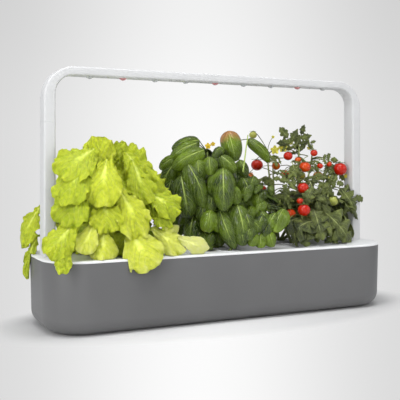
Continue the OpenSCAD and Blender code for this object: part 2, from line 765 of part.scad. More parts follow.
module lamp_housing() {
    color(white_plastic) difference() {
        union() {
            difference() {
                union() {
                    arch_solid(0, seam_height, arm_depth, arm_edge, 3);
                    for (s = [-1, 1]) translate([s * arm_x, 0, 0])
                        slab(plug_x, plug_y, plug_edge, seam_height - plug_length, seam_height + 1);
                }
                arch_solid(-arm_wall, seam_height + plug_root, bore_y, plug_edge, 1);
                translate([-cover_length / 2 - cover_gap, -bore_y / 2, bar_bottom - 1])
                    cube([cover_length + 2 * cover_gap, bore_y, arm_wall + 2]);
            }
            for (x = screw_places) translate([x, 0, board_top])
                cylinder(r = boss_radius, h = lamp_top - arm_wall / 2 - board_top);
        }
        for (s = [-1, 1]) translate([s * arm_x, 0, 0]) plug_hole(seam_height);
        for (x = screw_places) translate([x, 0, board_top - 1])
            cylinder(r = screw_radius, h = screw_reach + 1);
    }
}

function lens_x(i) = (i - 4) * lens_pitch;
function is_red(i) = i % 3 == 1;

// Heights of the cover's top, the lenses' flanges and the board over them
cover_top = bar_bottom + cover_thickness;
flange_height = 1.2;
led_size = 5;
led_height = 1.6;
board_bottom = cover_top + flange_height + led_height;
board_top = board_bottom + board_thickness;
cover_gap = 0.2;
board_margin = 6;
screw_reach = 4;
screw_places = [for (i = [-3.5, -1.5, 1.5, 3.5]) i * lens_pitch];

module lamp_cover() {
    color(white_plastic) difference() {
        union() {
            translate([0, 0, bar_bottom]) linear_extrude(cover_thickness)
                square([cover_length, bore_y - cover_gap], center = true);
            for (x = screw_places) translate([x, 0, bar_bottom])
                cylinder(r = boss_radius, h = board_bottom - bar_bottom);
        }
        for (i = [0:8]) translate([lens_x(i), 0, bar_bottom - 1])
            cylinder(r = lens_radius, h = cover_thickness + 2);
        for (x = screw_places) translate([x, 0, bar_bottom - 1])
            cylinder(r = screw_radius, h = board_bottom - bar_bottom + 2);
    }
}

module lamp_screws() {
    color("silver") for (x = screw_places) translate([x, 0, bar_bottom - screw_head]) {
        cylinder(r = screw_head_radius, h = screw_head);
        cylinder(r = screw_radius, h = screw_head + board_top - bar_bottom + screw_reach);
    }
}

module lamp_board() {
    size = [cover_length - 2 * board_margin, bore_y - 4];
    color(board_colour) difference() {
        translate([0, 0, board_bottom]) linear_extrude(board_thickness) square(size, center = true);
        for (x = screw_places) translate([x, 0, board_bottom - 1])
            cylinder(r = screw_radius + lift_gap, h = board_thickness + 2);
    }
}

module lamp_leds() {
    color("khaki") for (i = [0:8])
        translate([lens_x(i) - led_size / 2, -led_size / 2, board_bottom - led_height])
            cube([led_size, led_size, led_height]);
}

// Domed lens with a flange that the cover traps against its LED
module lens(x) {
    bulge = (lens_radius * lens_radius + lens_drop * lens_drop) / (2 * lens_drop);
    translate([x, 0, 0]) {
        translate([0, 0, cover_top]) cylinder(r = lens_radius + 1.6, h = flange_height);
        translate([0, 0, bar_bottom]) cylinder(r = lens_radius - 0.1, h = cover_thickness + tiny);
        intersection() {
            translate([0, 0, bar_bottom - lens_drop + bulge]) sphere(bulge);
            translate([0, 0, bar_bottom - lens_drop - 1])
                cylinder(r = lens_radius - 0.1, h = lens_drop + 1 + tiny);
        }
    }
}

module lenses(red) {
    color(red ? red_lens_colour : lens_colour)
        for (i = [0:8]) if (is_red(i) == red) lens(lens_x(i));
}

module lamp_contacts() {
    contact_holder(seam_height);
}

// ---- Plants --------------------------------------------------------------

golden = 137.5;
plant_gap = 0.5;
leaf_gap = 1.5;
// Plants grow this much less from front to back than along the tank
narrowing = 0.84;

// Plan of the space that each tray's plants keep to, so that a tray lifts out
// past its neighbours: points on the line to its right, from back to front
far = 400;
function reversed(line) = [for (i = [len(line) - 1:-1:0]) line[i]];
function shifted(line, by) = [for (p = line) [p.x + by, p.y]];
lettuce_line = shifted([[-23, 200], [-23, 35], [-5, 10], [-1, -25], [36, -50], [36, -200]],
                       -tray_pitch / 2);
basil_line = shifted([[13, 200], [13, 20], [39, -30], [39, -200]], tray_pitch / 2);

// Cuts a tray's leaves back to their plan, clear of the arms, the lid, the tank
// and the way up of the other two trays
module kept_clear(plan, own) {
    difference() {
        intersection() {
            union() children();
            linear_extrude(lamp_top) polygon(plan);
        }
        translate([0, 0, -1]) linear_extrude(lid_top + 1.8)
            rounded(tank_length + 2, tank_depth + 2, corner_radius + 1);
        for (s = [-1, 1]) translate([s * arm_x, 0, 0])
            slab(arm_thickness + 2 * leaf_gap, arm_depth + 2 * leaf_gap, arm_edge, 0, lamp_top);
        for (i = [-1:1]) if (i != own) translate([i * tray_pitch, 0, 0])
            slab(tray_width + 2 * leaf_gap, tray_length + 2 * leaf_gap, tray_corner,
                 0, block_top + tray_lift + 2 * leaf_gap);
    }
}

// A stem is [foot, tip], in three straight pieces. It spreads first and then
// rises where bow is above 0.
stem_pieces = 3;
function stem_joint(stem, i, bow) =
    let (a = stem[0], b = stem[1], t = i / stem_pieces, s = mix(t, sin(90 * t), bow))
    [mix(a.x, b.x, s), mix(a.y, b.y, s), mix(a.z, b.z, t)];
function stem_point(stem, t, bow) =
    let (i = min(floor(stem_pieces * t), stem_pieces - 1))
    mix(stem_joint(stem, i, bow), stem_joint(stem, i + 1, bow), stem_pieces * t - i);

module stem(path, bow, foot_radius, tip_radius) {
    for (i = [0:stem_pieces - 1])
        stalk(stem_joint(path, i, bow), stem_joint(path, i + 1, bow),
              mix(foot_radius, tip_radius, i / stem_pieces),
              mix(foot_radius, tip_radius, (i + 1) / stem_pieces));
}

// Place of a plant's foot on its growing block
function plant_foot(tray, k) = [tray * tray_pitch, (k - 1) * cup_pitch, block_top - 2];

// Lettuce: three heads with a folded heart, leaves round it, and loose outer leaves
// that hang over the lid's edge. Each head leans by [x, y, share of the height], and
// each outer leaf is
// [plant, place above its foot, azimuth, length, half width, rise, fall, ruffle].
heart_rings = 6;
heart_points = 15;
heart_radius = 56;
lettuce_count = 8;
lettuce_lean = [[-84, 18, 1], [-36, -14, 0.98], [-34, -16, 0.9]];
lettuce_outer = [
    [2, [-12, -2, 52], 180, 186, 27, 30, -76, 3],
    [0, [-22, -2, 54], 194, 150, 27, 24, -84, 3],
    [0, [-2, 0, 36], 262, 82, 28, 22, -98, 2],
    [0, [8, -2, 32], 351, 102, 25, 20, -34, 3],
    [0, [6, -4, 62], 350, 84, 26, 34, -40, 3]
];
function lettuce_path(k) =
    let (foot = plant_foot(-1, k))
    [foot, foot + [lettuce_lean[k].x, lettuce_lean[k].y, lettuce_lean[k].z * (lettuce_height - 14)]];

// Folded ring round a head at a share t of its height
function heart_ring(k, t) = [
    for (i = [0:heart_points - 1])
        let (a = 360 * i / heart_points, middle = stem_point(lettuce_path(k), t, 0),
             fold = 1 + 0.13 * cos(5 * a + 300 * t + 90 * k) + 0.06 * cos(3 * a - 200 * t),
             reach = heart_radius * fold * (0.2 + 0.8 * pow(sin(180 * mix(0.02, 0.86, t)), 0.8)))
        middle + [reach * cos(a), narrowing * reach * sin(a), 0]
];

module lettuce_plants() {
    color(lettuce_colour) {
        for (k = [0:2]) stem(lettuce_path(k), 0, lettuce_stem, 3);
        kept_clear(concat([[-far, far]], lettuce_line, [[-far, -far]]), -1) {
            for (k = [0:2])
                skin([for (i = [0:heart_rings]) heart_ring(k, 0.06 + 0.94 * i / heart_rings)]);
            for (k = [0:2], i = [0:lettuce_count - 1]) {
                t = i / (lettuce_count - 1);
                form = [mix(110, 62, t) + 8 * chance(i, k + 3), mix(48, 34, t), mix(50, 82, t),
                        mix(-66, -30, t), 0.22, 0, 1, 1.25, 20 * (chance(i, k + 6) - 0.5), 0];
                leaf(form, stem_point(lettuce_path(k), 0.1 + 0.76 * t, 0),
                     golden * i + 50 * k, lettuce_leaf, 3, 2);
            }
            for (o = lettuce_outer)
                leaf([o[3], o[4], o[5], o[6], 0.12, o[7], 2.2, 0.9, 6, 0],
                     plant_foot(-1, o[0]) + o[1], o[2], lettuce_leaf, 7, 2);
        }
    }
}

// Basil: each branch is [plant, tip in plan, share of the height], with pairs of
// drooping leaves up its length
basil_branches = [
    [1, [-64, 10], 0.92], [0, [-32, -6], 0.94], [1, [22, -16], 0.9], [2, [68, 4], 0.94],
    [2, [36, 38], 0.9], [2, [-24, 50], 0.7], [0, [58, -44], 0.58]
];
basil_pairs = 3;
function basil_path(b) = [plant_foot(0, b[0]),
                          [b[1].x, b[1].y, lid_top + b[2] * (basil_height - 8)]];

module basil_plants() {
    plan = concat(reversed(shifted(lettuce_line, 2 * plant_gap)), shifted(basil_line, -plant_gap));
    color(basil_colour) {
        for (b = basil_branches) stem(basil_path(b), 1, basil_stem, 1.2);
        kept_clear(plan, 0)
            for (n = [0:len(basil_branches) - 1], i = [0:basil_pairs - 1], s = [0, 180]) {
                t = mix(0.4, 1, i / (basil_pairs - 1));
                size = mix(96, 62, i / (basil_pairs - 1)) + 8 * chance(n, i + s);
                form = [size, 0.38 * size, mix(16, 46, t * t), mix(-112, -84, t), -0.4, 0, 1,
                        0.8, 0, 0];
                leaf(form, stem_point(basil_path(basil_branches[n]), t, 1),
                     90 * i + s + 40 * n, basil_leaf, 3, 2);
            }
    }
}

// Tomato: bushy stems with drooping lobed leaves, and fruit on short stalks. Each
// branch is [plant, tip in its tray's plan, share of the height].
tomato_branches = [
    [1, [-44, 50], 0.96], [1, [18, 6], 1], [2, [64, 30], 0.94], [1, [88, -18], 0.64],
    [0, [-8, -46], 0.5], [0, [56, -42], 0.54]
];
tomato_count = 4;
function tomato_path(b) = [plant_foot(1, b[0]),
                           [tray_pitch + b[1].x, b[1].y, lid_top + b[2] * (tomato_height - 10)]];

// Each fruit is [x, y from its tray's middle, height above the lid, radius]. It
// hangs clear of the right arm.
tomato_fruit = [
    [108, 4, 132, 13], [83, 4, 141, 5], [57, -4, 138, 5.5], [51, 6, 162, 6.5],
    [17, -14, 136, 10], [14, 4, 149, 6], [-7, 4, 156, 8.5], [-16, 0, 123, 7.5],
    [-19, 26, 138, 7.5], [-36, 66, 139, 11], [-52, 64, 119, 7], [-27, 62, 93, 9.5],
    [-48, 60, 195, 7], [51, 52, 118, 10.5], [77, 30, 119, 9.5], [69, -28, 74, 9.5],
    [0, -34, 99, 10.5], [-17, -50, 77, 6], [-17, -62, 62, 11], [-25, -30, 53, 10]
];
function fruit_limit(q) = arm_x - arm_thickness / 2 - leaf_gap - q[3];
function fruit_centre(q) = [min(tray_pitch + q[0], fruit_limit(q)), q[1], lid_top + q[2]];

// A fruit hangs by a bent stalk from the nearest point of the stems
stalk_rise = 6;
tomato_nodes = [for (b = tomato_branches, t = [0.3:0.1:1]) stem_point(tomato_path(b), t, 1)];
function nearest_node(p) =
    let (gaps = [for (n = tomato_nodes) norm(n - p)])
    tomato_nodes[search(min(gaps), gaps)[0]];
module fruit_stalk(q) {
    top = fruit_centre(q) + [0, 0, q[3] - 0.5];
    crook = top + [0, 0, stalk_rise];
    stalk(top, crook, 0.8, 0.9);
    stalk(crook, nearest_node(crook), 0.9, 1.1);
}

module tomato_plants() {
    plan = concat(reversed(shifted(basil_line, plant_gap)), [[far, far], [far, -far]]);
    color(tomato_leaf_colour) {
        for (b = tomato_branches) stem(tomato_path(b), 1, tomato_stem, 1.4);
        for (q = tomato_fruit) fruit_stalk(q);
        kept_clear(plan, 1)
            for (n = [0:len(tomato_branches) - 1], i = [0:tomato_count - 1]) {
                t = mix(0.35, 1, i / (tomato_count - 1));
                size = mix(92, 66, t) + 10 * chance(n, i);
                form = [size, 0.44 * size, mix(10, 50, t * t), mix(-112, -76, t), -0.3, 2, 1,
                        0.9, 14, 2.5];
                leaf(form, stem_point(tomato_path(tomato_branches[n]), t, 1),
                     golden * i + 70 * n, tomato_leaf, 6, 2);
            }
    }
}

module tomato_fruits() {
    color(fruit_colour) for (q = tomato_fruit) translate(fruit_centre(q)) sphere(q[3]);
}

// ---- What is drawn -------------------------------------------------------

tank();
for (i = [0:2]) foot_strip(i - 1);
lid();
power_socket();
power_pin();
control_cover();
control_board();
cover_screws();
lid_contacts();
lead_wires();
for (i = [0:2]) tray(i - 1);
for (n = [1:9]) cup(n);
for (i = [0:2]) growing_blocks(i - 1);
for (i = [0:2]) wicks(i - 1);
gauge_cap();
gauge_stem();
gauge_float();
for (i = [0:1]) arm(2 * i - 1, lid_top);
for (i = [0:1]) arm(2 * i - 1, lid_top + arm_length);
arm_contacts(lid_top);  // lower_arm_contacts
arm_contacts(lid_top + arm_length);  // upper_arm_contacts
lamp_housing();
lamp_cover();
lamp_board();
lamp_leds();
lenses(false);  // lenses_white
lenses(true);  // lenses_red
lamp_screws();
lamp_contacts();
lettuce_plants();
basil_plants();
tomato_plants();
tomato_fruits();
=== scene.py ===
import math

import bpy
import numpy as np
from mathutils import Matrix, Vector


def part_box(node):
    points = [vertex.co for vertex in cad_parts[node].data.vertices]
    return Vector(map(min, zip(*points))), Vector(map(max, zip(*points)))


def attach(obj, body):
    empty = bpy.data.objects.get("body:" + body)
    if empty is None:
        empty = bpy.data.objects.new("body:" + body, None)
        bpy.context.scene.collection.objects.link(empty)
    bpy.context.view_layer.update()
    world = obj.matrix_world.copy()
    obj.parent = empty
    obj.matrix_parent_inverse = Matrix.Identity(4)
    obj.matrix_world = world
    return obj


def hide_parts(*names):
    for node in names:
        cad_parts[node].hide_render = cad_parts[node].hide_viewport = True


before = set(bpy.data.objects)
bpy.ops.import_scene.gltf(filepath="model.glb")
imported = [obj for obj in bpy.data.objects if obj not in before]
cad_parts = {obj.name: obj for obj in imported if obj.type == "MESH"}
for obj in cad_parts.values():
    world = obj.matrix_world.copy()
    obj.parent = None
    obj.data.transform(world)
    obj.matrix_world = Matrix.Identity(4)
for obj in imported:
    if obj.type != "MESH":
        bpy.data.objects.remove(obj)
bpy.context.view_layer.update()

# ---- Studio ------------------------------------------------------------------
# A pale sweep under one soft overhead light, with a fill from either side and an upright
# strip in front. The camera stands to the left, level with the middle of the upper arms.

camera_place = np.array((-0.58375, -1.1366, 0.25816))
camera_turn = 0.4541
camera_data = bpy.data.cameras.new("camera")
camera_data.lens = 66.83
camera_data.sensor_width = 36
camera_data.shift_y = -0.0959
camera = bpy.data.objects.new("camera", camera_data)
camera.location = camera_place
camera.rotation_euler = (math.pi / 2, 0, -camera_turn)
bpy.context.scene.collection.objects.link(camera)
bpy.context.scene.camera = camera
bpy.context.scene.view_settings.view_transform = "Standard"
ahead = np.array([math.sin(camera_turn), math.cos(camera_turn)])
aside = np.array([math.cos(camera_turn), -math.sin(camera_turn)])
focal = camera_data.lens / camera_data.sensor_width
middle_row = 0.5 + camera_data.shift_y
view_width = 400


def seen(across, down, depth):
    """Place in metres of a point of the view, which is view_width units wide, at a depth Y."""
    r = (across / view_width - 0.5) / focal
    back = depth - camera_place[1]
    along = back * (ahead[0] + r * ahead[1]) / (ahead[1] - r * ahead[0])
    reach = along * ahead[0] + back * ahead[1]
    return np.array([camera_place[0] + along, depth,
                     camera_place[2] + (middle_row - down / view_width) / focal * reach])


class Wire:
    """One output of a node, on which sums and products add Math nodes."""

    def __init__(self, tree, socket=None):
        self.tree = tree
        self.socket = socket

    def node(self, kind, sockets=None, output=0, stops=None, **settings):
        made = self.tree.nodes.new("ShaderNode" + kind)
        for name, value in settings.items():
            setattr(made, name, value)
        if stops:
            elements = made.color_ramp.elements
            while len(elements) < len(stops):
                elements.new(0.5)
            for element, (place, colour) in zip(elements, stops):
                element.position = place
                element.color = (*colour, 1)
        for key, value in (sockets or {}).items():
            if isinstance(value, Wire):
                self.tree.links.new(value.socket, made.inputs[key])
            else:
                made.inputs[key].default_value = value
        return Wire(self.tree, made.outputs[output])

    def maths(self, operation, *values):
        return self.node("Math", dict(enumerate(values)), operation=operation)

    def __add__(self, other):
        return self.maths("ADD", self, other)

    def __sub__(self, other):
        return self.maths("SUBTRACT", self, other)

    def __rsub__(self, other):
        return self.maths("SUBTRACT", other, self)

    def __mul__(self, other):
        return self.maths("MULTIPLY", self, other)

    def __abs__(self):
        return self.maths("ABSOLUTE", self)

    __radd__ = __add__
    __rmul__ = __mul__

    def stepped(self, low, high, start=0.0, end=1.0):
        """Runs smoothly from start to end while this value goes from low to high."""
        return self.node("MapRange", {0: self, 1: low, 2: high, 3: start, 4: end},
                         interpolation_type="SMOOTHSTEP")

    def mixed(self, one, other):
        """Mix of two colours, with this value as the share of the second."""
        one, other = [c if isinstance(c, Wire) else (*c, 1) for c in (one, other)]
        return self.node("Mix", {0: self, 6: one, 7: other}, output=2, data_type="RGBA")

    def part(self, axis):
        return self.node("SeparateXYZ", {0: self}, output="XYZ".index(axis))

    def grey(self):
        """Grey colour of this tone."""
        return self.node("CombineColor", {0: self, 1: self, 2: self})

    def into(self, node, socket):
        self.tree.links.new(self.socket, node.inputs[socket])


side_shade_tones = (0.97, 0.71)
picture_fall = 1.114


def painted_side_shade(tree):
    """Painted shade of the sweep: its tone falls off to both sides of the picture."""
    across = Wire(tree).node("TexCoord", output=5).part("X")
    return abs((across - 0.5) * 2).stepped(0.0, picture_fall, *side_shade_tones)


floor_span = 8
floor_mesh = bpy.data.meshes.new("floor")
corners = [(x * floor_span, y * floor_span, 0) for x, y in ((-1, -1), (1, -1), (1, 1), (-1, 1))]
floor_mesh.from_pydata(corners, [], [(0, 1, 2, 3)])
floor = bpy.data.objects.new("floor", floor_mesh)
bpy.context.scene.collection.objects.link(floor)

# Round the tank the floor takes shadows. Farther off it glows with the sweep's tone. Both carry painted
# shade towards the picture's sides.
shade_stretch = (1, 2.2, 1)
shade_end = (0.33, 0.42)
lit_share = 0.83
sweep = bpy.data.materials.new("sweep")
sweep.use_nodes = True
sweep.node_tree.nodes.clear()
ground = Wire(sweep.node_tree).node("TexCoord", output=3)
stretched = ground.node("VectorMath", {0: ground, 1: shade_stretch}, operation="MULTIPLY")
distance = ground.node("VectorMath", {0: stretched}, output=1, operation="LENGTH")
tone = painted_side_shade(sweep.node_tree)
lit = tone.node("BsdfDiffuse", {0: (tone * lit_share).grey()})
glow = tone.node("Emission", {0: tone.grey(), 1: 1.0})
plain = tone.node("BsdfDiffuse", {0: (0.8, 0.8, 0.8, 1)})
shown = tone.node("MixShader", {0: distance.stepped(*shade_end), 1: lit, 2: glow})
camera_ray = tone.node("LightPath")
floor_look = tone.node("MixShader", {0: camera_ray, 1: plain, 2: shown})
floor_look.into(sweep.node_tree.nodes.new("ShaderNodeOutputMaterial"), 0)
floor_mesh.materials.append(sweep)

sky_glow = 0.46
sky_shade = (0.02, 0.24, 1.0, 0.9)
world = bpy.data.worlds.new("world")
world.use_nodes = True
bpy.context.scene.world = world
world.node_tree.nodes.clear()
sky = Wire(world.node_tree).node("TexCoord", output=0)
# The picture behind carries the same painted side shade, and painted shade away from the horizon.
sky_tone = painted_side_shade(world.node_tree) * abs(sky.part("Z")).stepped(*sky_shade)
picture = sky.node("Background", {0: sky_tone.grey(), 1: 1.0})
light = sky.node("Background", {0: (0.97, 0.98, 1.0, 1), 1: sky_glow})
sky_look = sky.node("MixShader", {0: sky.node("LightPath"), 1: light, 2: picture})
sky_look.into(world.node_tree.nodes.new("ShaderNodeOutputWorld"), 0)

light_target = Vector((0, 0, 0.15))
for lamp_name, place, size, power in (
        ("overhead", (-0.25, -0.45, 1.7), (1.2, 0.9), 17.5),
        ("left_fill", (-2.2, -0.9, 0.9), (0.9, 1.6), 24.0),
        ("front_strip", (-0.75, -2.4, 0.8), (0.3, 1.5), 8.0),
        ("right_fill", (1.9, -1.9, 1.2), (1.2, 1.2), 10.0)):
    lamp_data = bpy.data.lights.new(lamp_name, "AREA")
    lamp_data.shape = "RECTANGLE"
    lamp_data.size, lamp_data.size_y = size
    lamp_data.energy = power
    lamp = bpy.data.objects.new(lamp_name, lamp_data)
    lamp.location = place
    lamp.rotation_euler = (lamp.location - light_target).to_track_quat("Z", "Y").to_euler()
    bpy.context.scene.collection.objects.link(lamp)

# ---- Tank --------------------------------------------------------------------
# One charcoal moulding with a rounded floor edge, walls that lean in a little and
# a notch at the back left for the power socket. Its surface is finely matted.

tank_size = (0.620, 0.185)
rim = 0.109
tank_corner = 0.062
tank_floor = 0.0012
tank_wall = 0.003
tank_draft = 0.0025
floor_bend = 0.023
rim_ease = 0.0005
rim_edge = ((0.00002, 0.0012), (0.0002, 0.0007), (0.0007, 0))
inlet_x = (-0.2564, -0.2416)
inlet_bottom = 0.0966
notch_y = (0.080, 0.1)
notch_top = 0.12


def rounded_ring(width, length, radius, z, steps=20):
    """Points round a rectangle with round corners, anticlockwise from its right side."""
    points = []
    for quarter in range(4):
        cx = (1 if quarter in (0, 3) else -1) * (width / 2 - radius)
        cy = (1 if quarter < 2 else -1) * (length / 2 - radius)
        for i in range(steps + 1):
            a = math.pi / 2 * (quarter + i / steps)
            points.append((cx + radius * math.cos(a), cy + radius * math.sin(a), z))
    return points


def skinned(name, rings, joined=False):
    """Mesh through a stack of rings with as many points each, capped or joined end to end."""
    n = len(rings[0])
    points = [p for ring in rings for p in ring]
    faces = []
    for k in range(len(rings) if joined else len(rings) - 1):
        a, b = k * n, (k + 1) % len(rings) * n
        faces += [(a + i, a + (i + 1) % n, b + (i + 1) % n, b + i) for i in range(n)]
    if not joined:
        faces.append(tuple(range(n - 1, -1, -1)))
        faces.append(tuple((len(rings) - 1) * n + i for i in range(n)))
    mesh = bpy.data.meshes.new(name)
    mesh.from_pydata(points, [], faces)
    mesh.validate()
    made = bpy.data.objects.new(name, mesh)
    bpy.context.scene.collection.objects.link(made)
    return made


def settled(piece):
    """Applies a piece's modifiers, so that only its mesh is left."""
    bpy.context.view_layer.update()
    result = piece.evaluated_get(bpy.context.evaluated_depsgraph_get())
    mesh = bpy.data.meshes.new_from_object(result)
    piece.modifiers.clear()
    piece.data = mesh
    return piece


def cut(piece, cutters, operation="DIFFERENCE"):
    """Cuts shapes out of a piece, or adds them to it, and takes the shapes away."""
    for cutter in cutters:
        modifier = piece.modifiers.new("cut", "BOOLEAN")
        modifier.operation = operation
        modifier.solver = "EXACT"
        modifier.object = cutter
    settled(piece)
    for cutter in cutters:
        bpy.data.objects.remove(cutter)
    return piece


def smoothed(piece, angle=32):
    """Shades a piece smooth, with its edges over an angle kept sharp."""
    piece.data.shade_smooth()
    piece.data.set_sharp_from_angle(angle=math.radians(angle))
    return piece


def finish_of(name, colour, roughness, **uniform):
    """Material with its even values set, its Principled node and its Object coordinates."""
    material = bpy.data.materials.new(name)
    material.use_nodes = True
    shader = material.node_tree.nodes["Principled BSDF"]
    shader.inputs["Base Color"].default_value = (*colour, 1)
    shader.inputs["Roughness"].default_value = roughness
    for key, value in uniform.items():
        shader.inputs[key.replace("_", " ")].default_value = value
    place = Wire(material.node_tree).node("TexCoord", output=3)
    return material, shader, place


def grained(place, shader, scale, depth, strength=0.5):
    """Gives a surface a fine moulded grain."""
    grain = place.node("TexNoise", {"Vector": place, "Scale": scale, "Detail": 3.0})
    bump = place.node("Bump", {"Strength": strength, "Distance": depth, "Height": grain})
    bump.into(shader, "Normal")
    return grain


def painted(piece, material):
    piece.data.materials.clear()
    piece.data.materials.append(material)
    return piece


def tank_ring(inset, z):
    return rounded_ring(tank_size[0] - 2 * inset, tank_size[1] - 2 * inset, tank_corner - inset, z)


def tank_side(radius, floor_z, wall, steps):
    """Rings from a floor up round its bent edge, for the outside or the inside."""
    rings = []
    for i in range(steps + 1):
        a = math.pi / 2 * i / steps
        z = floor_z + radius * (1 - math.cos(a))
        lean = tank_draft * (rim - z) / (rim - tank_floor)
        rings.append(tank_ring(wall + lean + radius * (1 - math.sin(a)), z))
    return rings


tank = skinned("tank_shell", [
    *tank_side(floor_bend, tank_floor, 0, 14),
    *(tank_ring(inset, rim - drop) for inset, drop in rim_edge),
    tank_ring(tank_wall - rim_ease, rim),
    tank_ring(tank_wall, rim - rim_ease),
    *tank_side(floor_bend - tank_wall, tank_floor + tank_wall, tank_wall, 8)[::-1]])


def block(name, x, y, z):
    """Box between two corners."""
    ring = [(x[0], y[0]), (x[1], y[0]), (x[1], y[1]), (x[0], y[1])]
    return skinned(name, [[(*p, z[0]) for p in ring], [(*p, z[1]) for p in ring]])


def moulded(name, tones, roughness, clouds, grain, **uniform):
    """Moulded plastic: a fine grain, and a tone and roughness that drift over the piece."""
    material, shader, place = finish_of(name, tones[0], roughness[0], **uniform)
    grained(place, shader, *grain)
    drift = place.node("TexNoise", {"Vector": place, "Scale": clouds, "Detail": 2.0})
    drift.stepped(0.3, 0.7).mixed(*tones).into(shader, "Base Color")
    drift.stepped(0.2, 0.8, *roughness).into(shader, "Roughness")
    return material


cut(tank, [block("notch", inlet_x, notch_y, (inlet_bottom, notch_top))])
smoothed(tank)
tank_plastic = moulded("tank_plastic", ((0.121, 0.121, 0.123), (0.130, 0.130, 0.132)), (0.39, 0.46), 9.0,
                       (2600, 0.00012, 0.35), Specular_IOR_Level=0.42)
painted(tank, tank_plastic)
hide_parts("tank")
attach(tank, "tank")

# ---- Foot strips ---------------------------------------------------------------
# Three rubber strips under the tank, glued into shallow pockets.
# The rubber is dull black with a faint dusting.


def keeps_shape(material, *names):
    """Gives a finish to pieces that keep their shapes."""
    for name in names:
        painted(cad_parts[name], material)


rubber, rubber_shader, rubber_place = finish_of("foot_rubber", (0.02, 0.02, 0.02), 0.7)
rubber_dust = grained(rubber_place, rubber_shader, 900, 0.0003)
rubber_dust.stepped(0.3, 0.8).mixed((0.016, 0.016, 0.016), (0.034, 0.034, 0.033)).into(
    rubber_shader, "Base Color")
bays = ("left", "middle", "right")
keeps_shape(rubber, *("foot_strip_" + bay for bay in bays))

# ---- Lid -----------------------------------------------------------------------
# White moulding that drops into the tank: a rounded border round a sunk middle with
# three windows, sockets for the arms, a filling hole and the float's guide.

lid_top = 0.1124
edge_bend = 0.0016
edge_steps = 4
lid_wall = 0.0026
skirt_bottom = 0.099
skirt_inset = (0.00363, 0.00340)
overlap = 0.0005
under_plate = rim + overlap
through = (0.1, 0.12)
recess_size = (0.472, 0.160)
recess_corner = 0.018
recess_floor = 0.1084
recess_edge = ((-0.0012, 0), (-0.0007, 0.0002), (-0.0002, 0.0007), (0, 0.0014))
recess_lip = ((0, -0.0010), (0.0002, -0.0004), (0.0009, 0.0001))
tray_pitch = 0.158
window_size = (0.134, 0.136)
window_corner = 0.009
arm_place = 0.29125
arm_size = (0.0185, 0.028)
bore_size = (0.0145, 0.024)
bore_corner = 0.0007
bore_foot = 0.0954
socket_corner = 0.002
socket_bottom = 0.090
contact_hole = (0.0079, 0.0134)
contact_hole_z = (0.085, 0.1)
plug_size = (0.0139, 0.0234)
plug_length = 0.016
fill_size = (0.032, 0.064)
fill_corner = 0.008
float_place = (0.258, 0.044)
guide_width = 0.0192
stem_hole = 0.00516
cap_pocket = 0.0148
cap_pocket_floor = 0.1094
boss_width = 0.006
boss_bottom = 0.097
boss_x = (-0.280, -0.247)
boss_y = (0.026, 0.062)
inlet_gap_y = (0.0785, 0.1)
inlet_gap_top = 0.10899


def column(name, size, radius, low, high, x=0.0, y=0.0, steps=10):
    """Upright solid with round corners."""
    rings = [rounded_ring(*size, radius, z, steps) for z in (low, high)]
    return skinned(name, [[(p[0] + x, p[1] + y, p[2]) for p in ring] for ring in rings])


def peg(name, width, low, high, x=0.0, y=0.0, steps=10, flat=0.00001):
    """Upright round solid. Flats too narrow to show keep its quarters' ends apart."""
    return column(name, (width, width), width / 2 - flat, low, high, x, y, steps)


def recess_ring(grow, z):
    return rounded_ring(recess_size[0] + 2 * grow, recess_size[1] + 2 * grow,
                        recess_corner + grow, z, 12)


plate_rings = [tank_ring(0, rim)]
for i in range(edge_steps + 1):
    bend = math.pi / 2 * i / edge_steps
    plate_rings.append(tank_ring(edge_bend * (1 - math.cos(bend)),
                                 lid_top - edge_bend * (1 - math.sin(bend))))
lid = skinned("lid_shell", plate_rings)
skirt_low, skirt_high = skirt_inset
skirt = skinned("skirt", [tank_ring(skirt_low, skirt_bottom), tank_ring(skirt_high, under_plate)])
cut(skirt, [skinned("skirt_inside", [tank_ring(skirt_low + lid_wall, skirt_bottom - overlap),
                                     tank_ring(skirt_high + lid_wall, rim)])])
tub_bottom = recess_floor - lid_wall
extras = [skirt, skinned("tub", [recess_ring(lid_wall, tub_bottom), recess_ring(lid_wall, under_plate)])]
for side in (-1, 1):
    extras.append(column("socket_block", arm_size, socket_corner, socket_bottom, under_plate,
                         side * arm_place))
extras.append(column("fill_collar", [width + 2 * lid_wall for width in fill_size],
                     fill_corner + lid_wall, tub_bottom, under_plate, float_place[0]))
extras.append(peg("float_guide", guide_width, tub_bottom, under_plate, *float_place,
                  steps=12, flat=0.0001))
for x in boss_x:
    for y in boss_y:
        extras.append(peg("board_boss", boss_width, boss_bottom, under_plate, x, y, flat=0.00002))
cut(lid, extras, "UNION")
openings = [skinned("recess", [*(recess_ring(grow, recess_floor + rise) for grow, rise in recess_edge),
                               *(recess_ring(grow, lid_top + rise) for grow, rise in recess_lip)])]
for i in (-1, 0, 1):
    openings.append(column("window", window_size, window_corner, *through, i * tray_pitch))
for side in (-1, 1):
    x = side * arm_place
    openings.append(column("socket", bore_size, bore_corner, bore_foot, through[1], x))
    openings.append(column("contact_hole", contact_hole, bore_corner, *contact_hole_z, x))
openings.append(column("fill_hole", fill_size, fill_corner, *through, float_place[0]))
openings.append(peg("stem_hole", stem_hole, *through, *float_place))
openings.append(peg("cap_pocket", cap_pocket, cap_pocket_floor, through[1], *float_place))
openings.append(block("inlet_gap", inlet_x, inlet_gap_y, (inlet_bottom, inlet_gap_top)))
cut(lid, openings)
smoothed(lid)
white_plastic = moulded("white_moulding", ((0.79, 0.80, 0.80), (0.82, 0.83, 0.835)), (0.33, 0.40), 14.0,
                        (1800, 0.00008, 0.3), Specular_IOR_Level=0.45)
painted(lid, white_plastic)
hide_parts("lid")
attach(lid, "lid")

# ---- Power socket, control board and contacts ------------------------------------
# The inlet, the board's cover and their small parts keep their shapes.
# They get moulded, soldered and plated finishes.

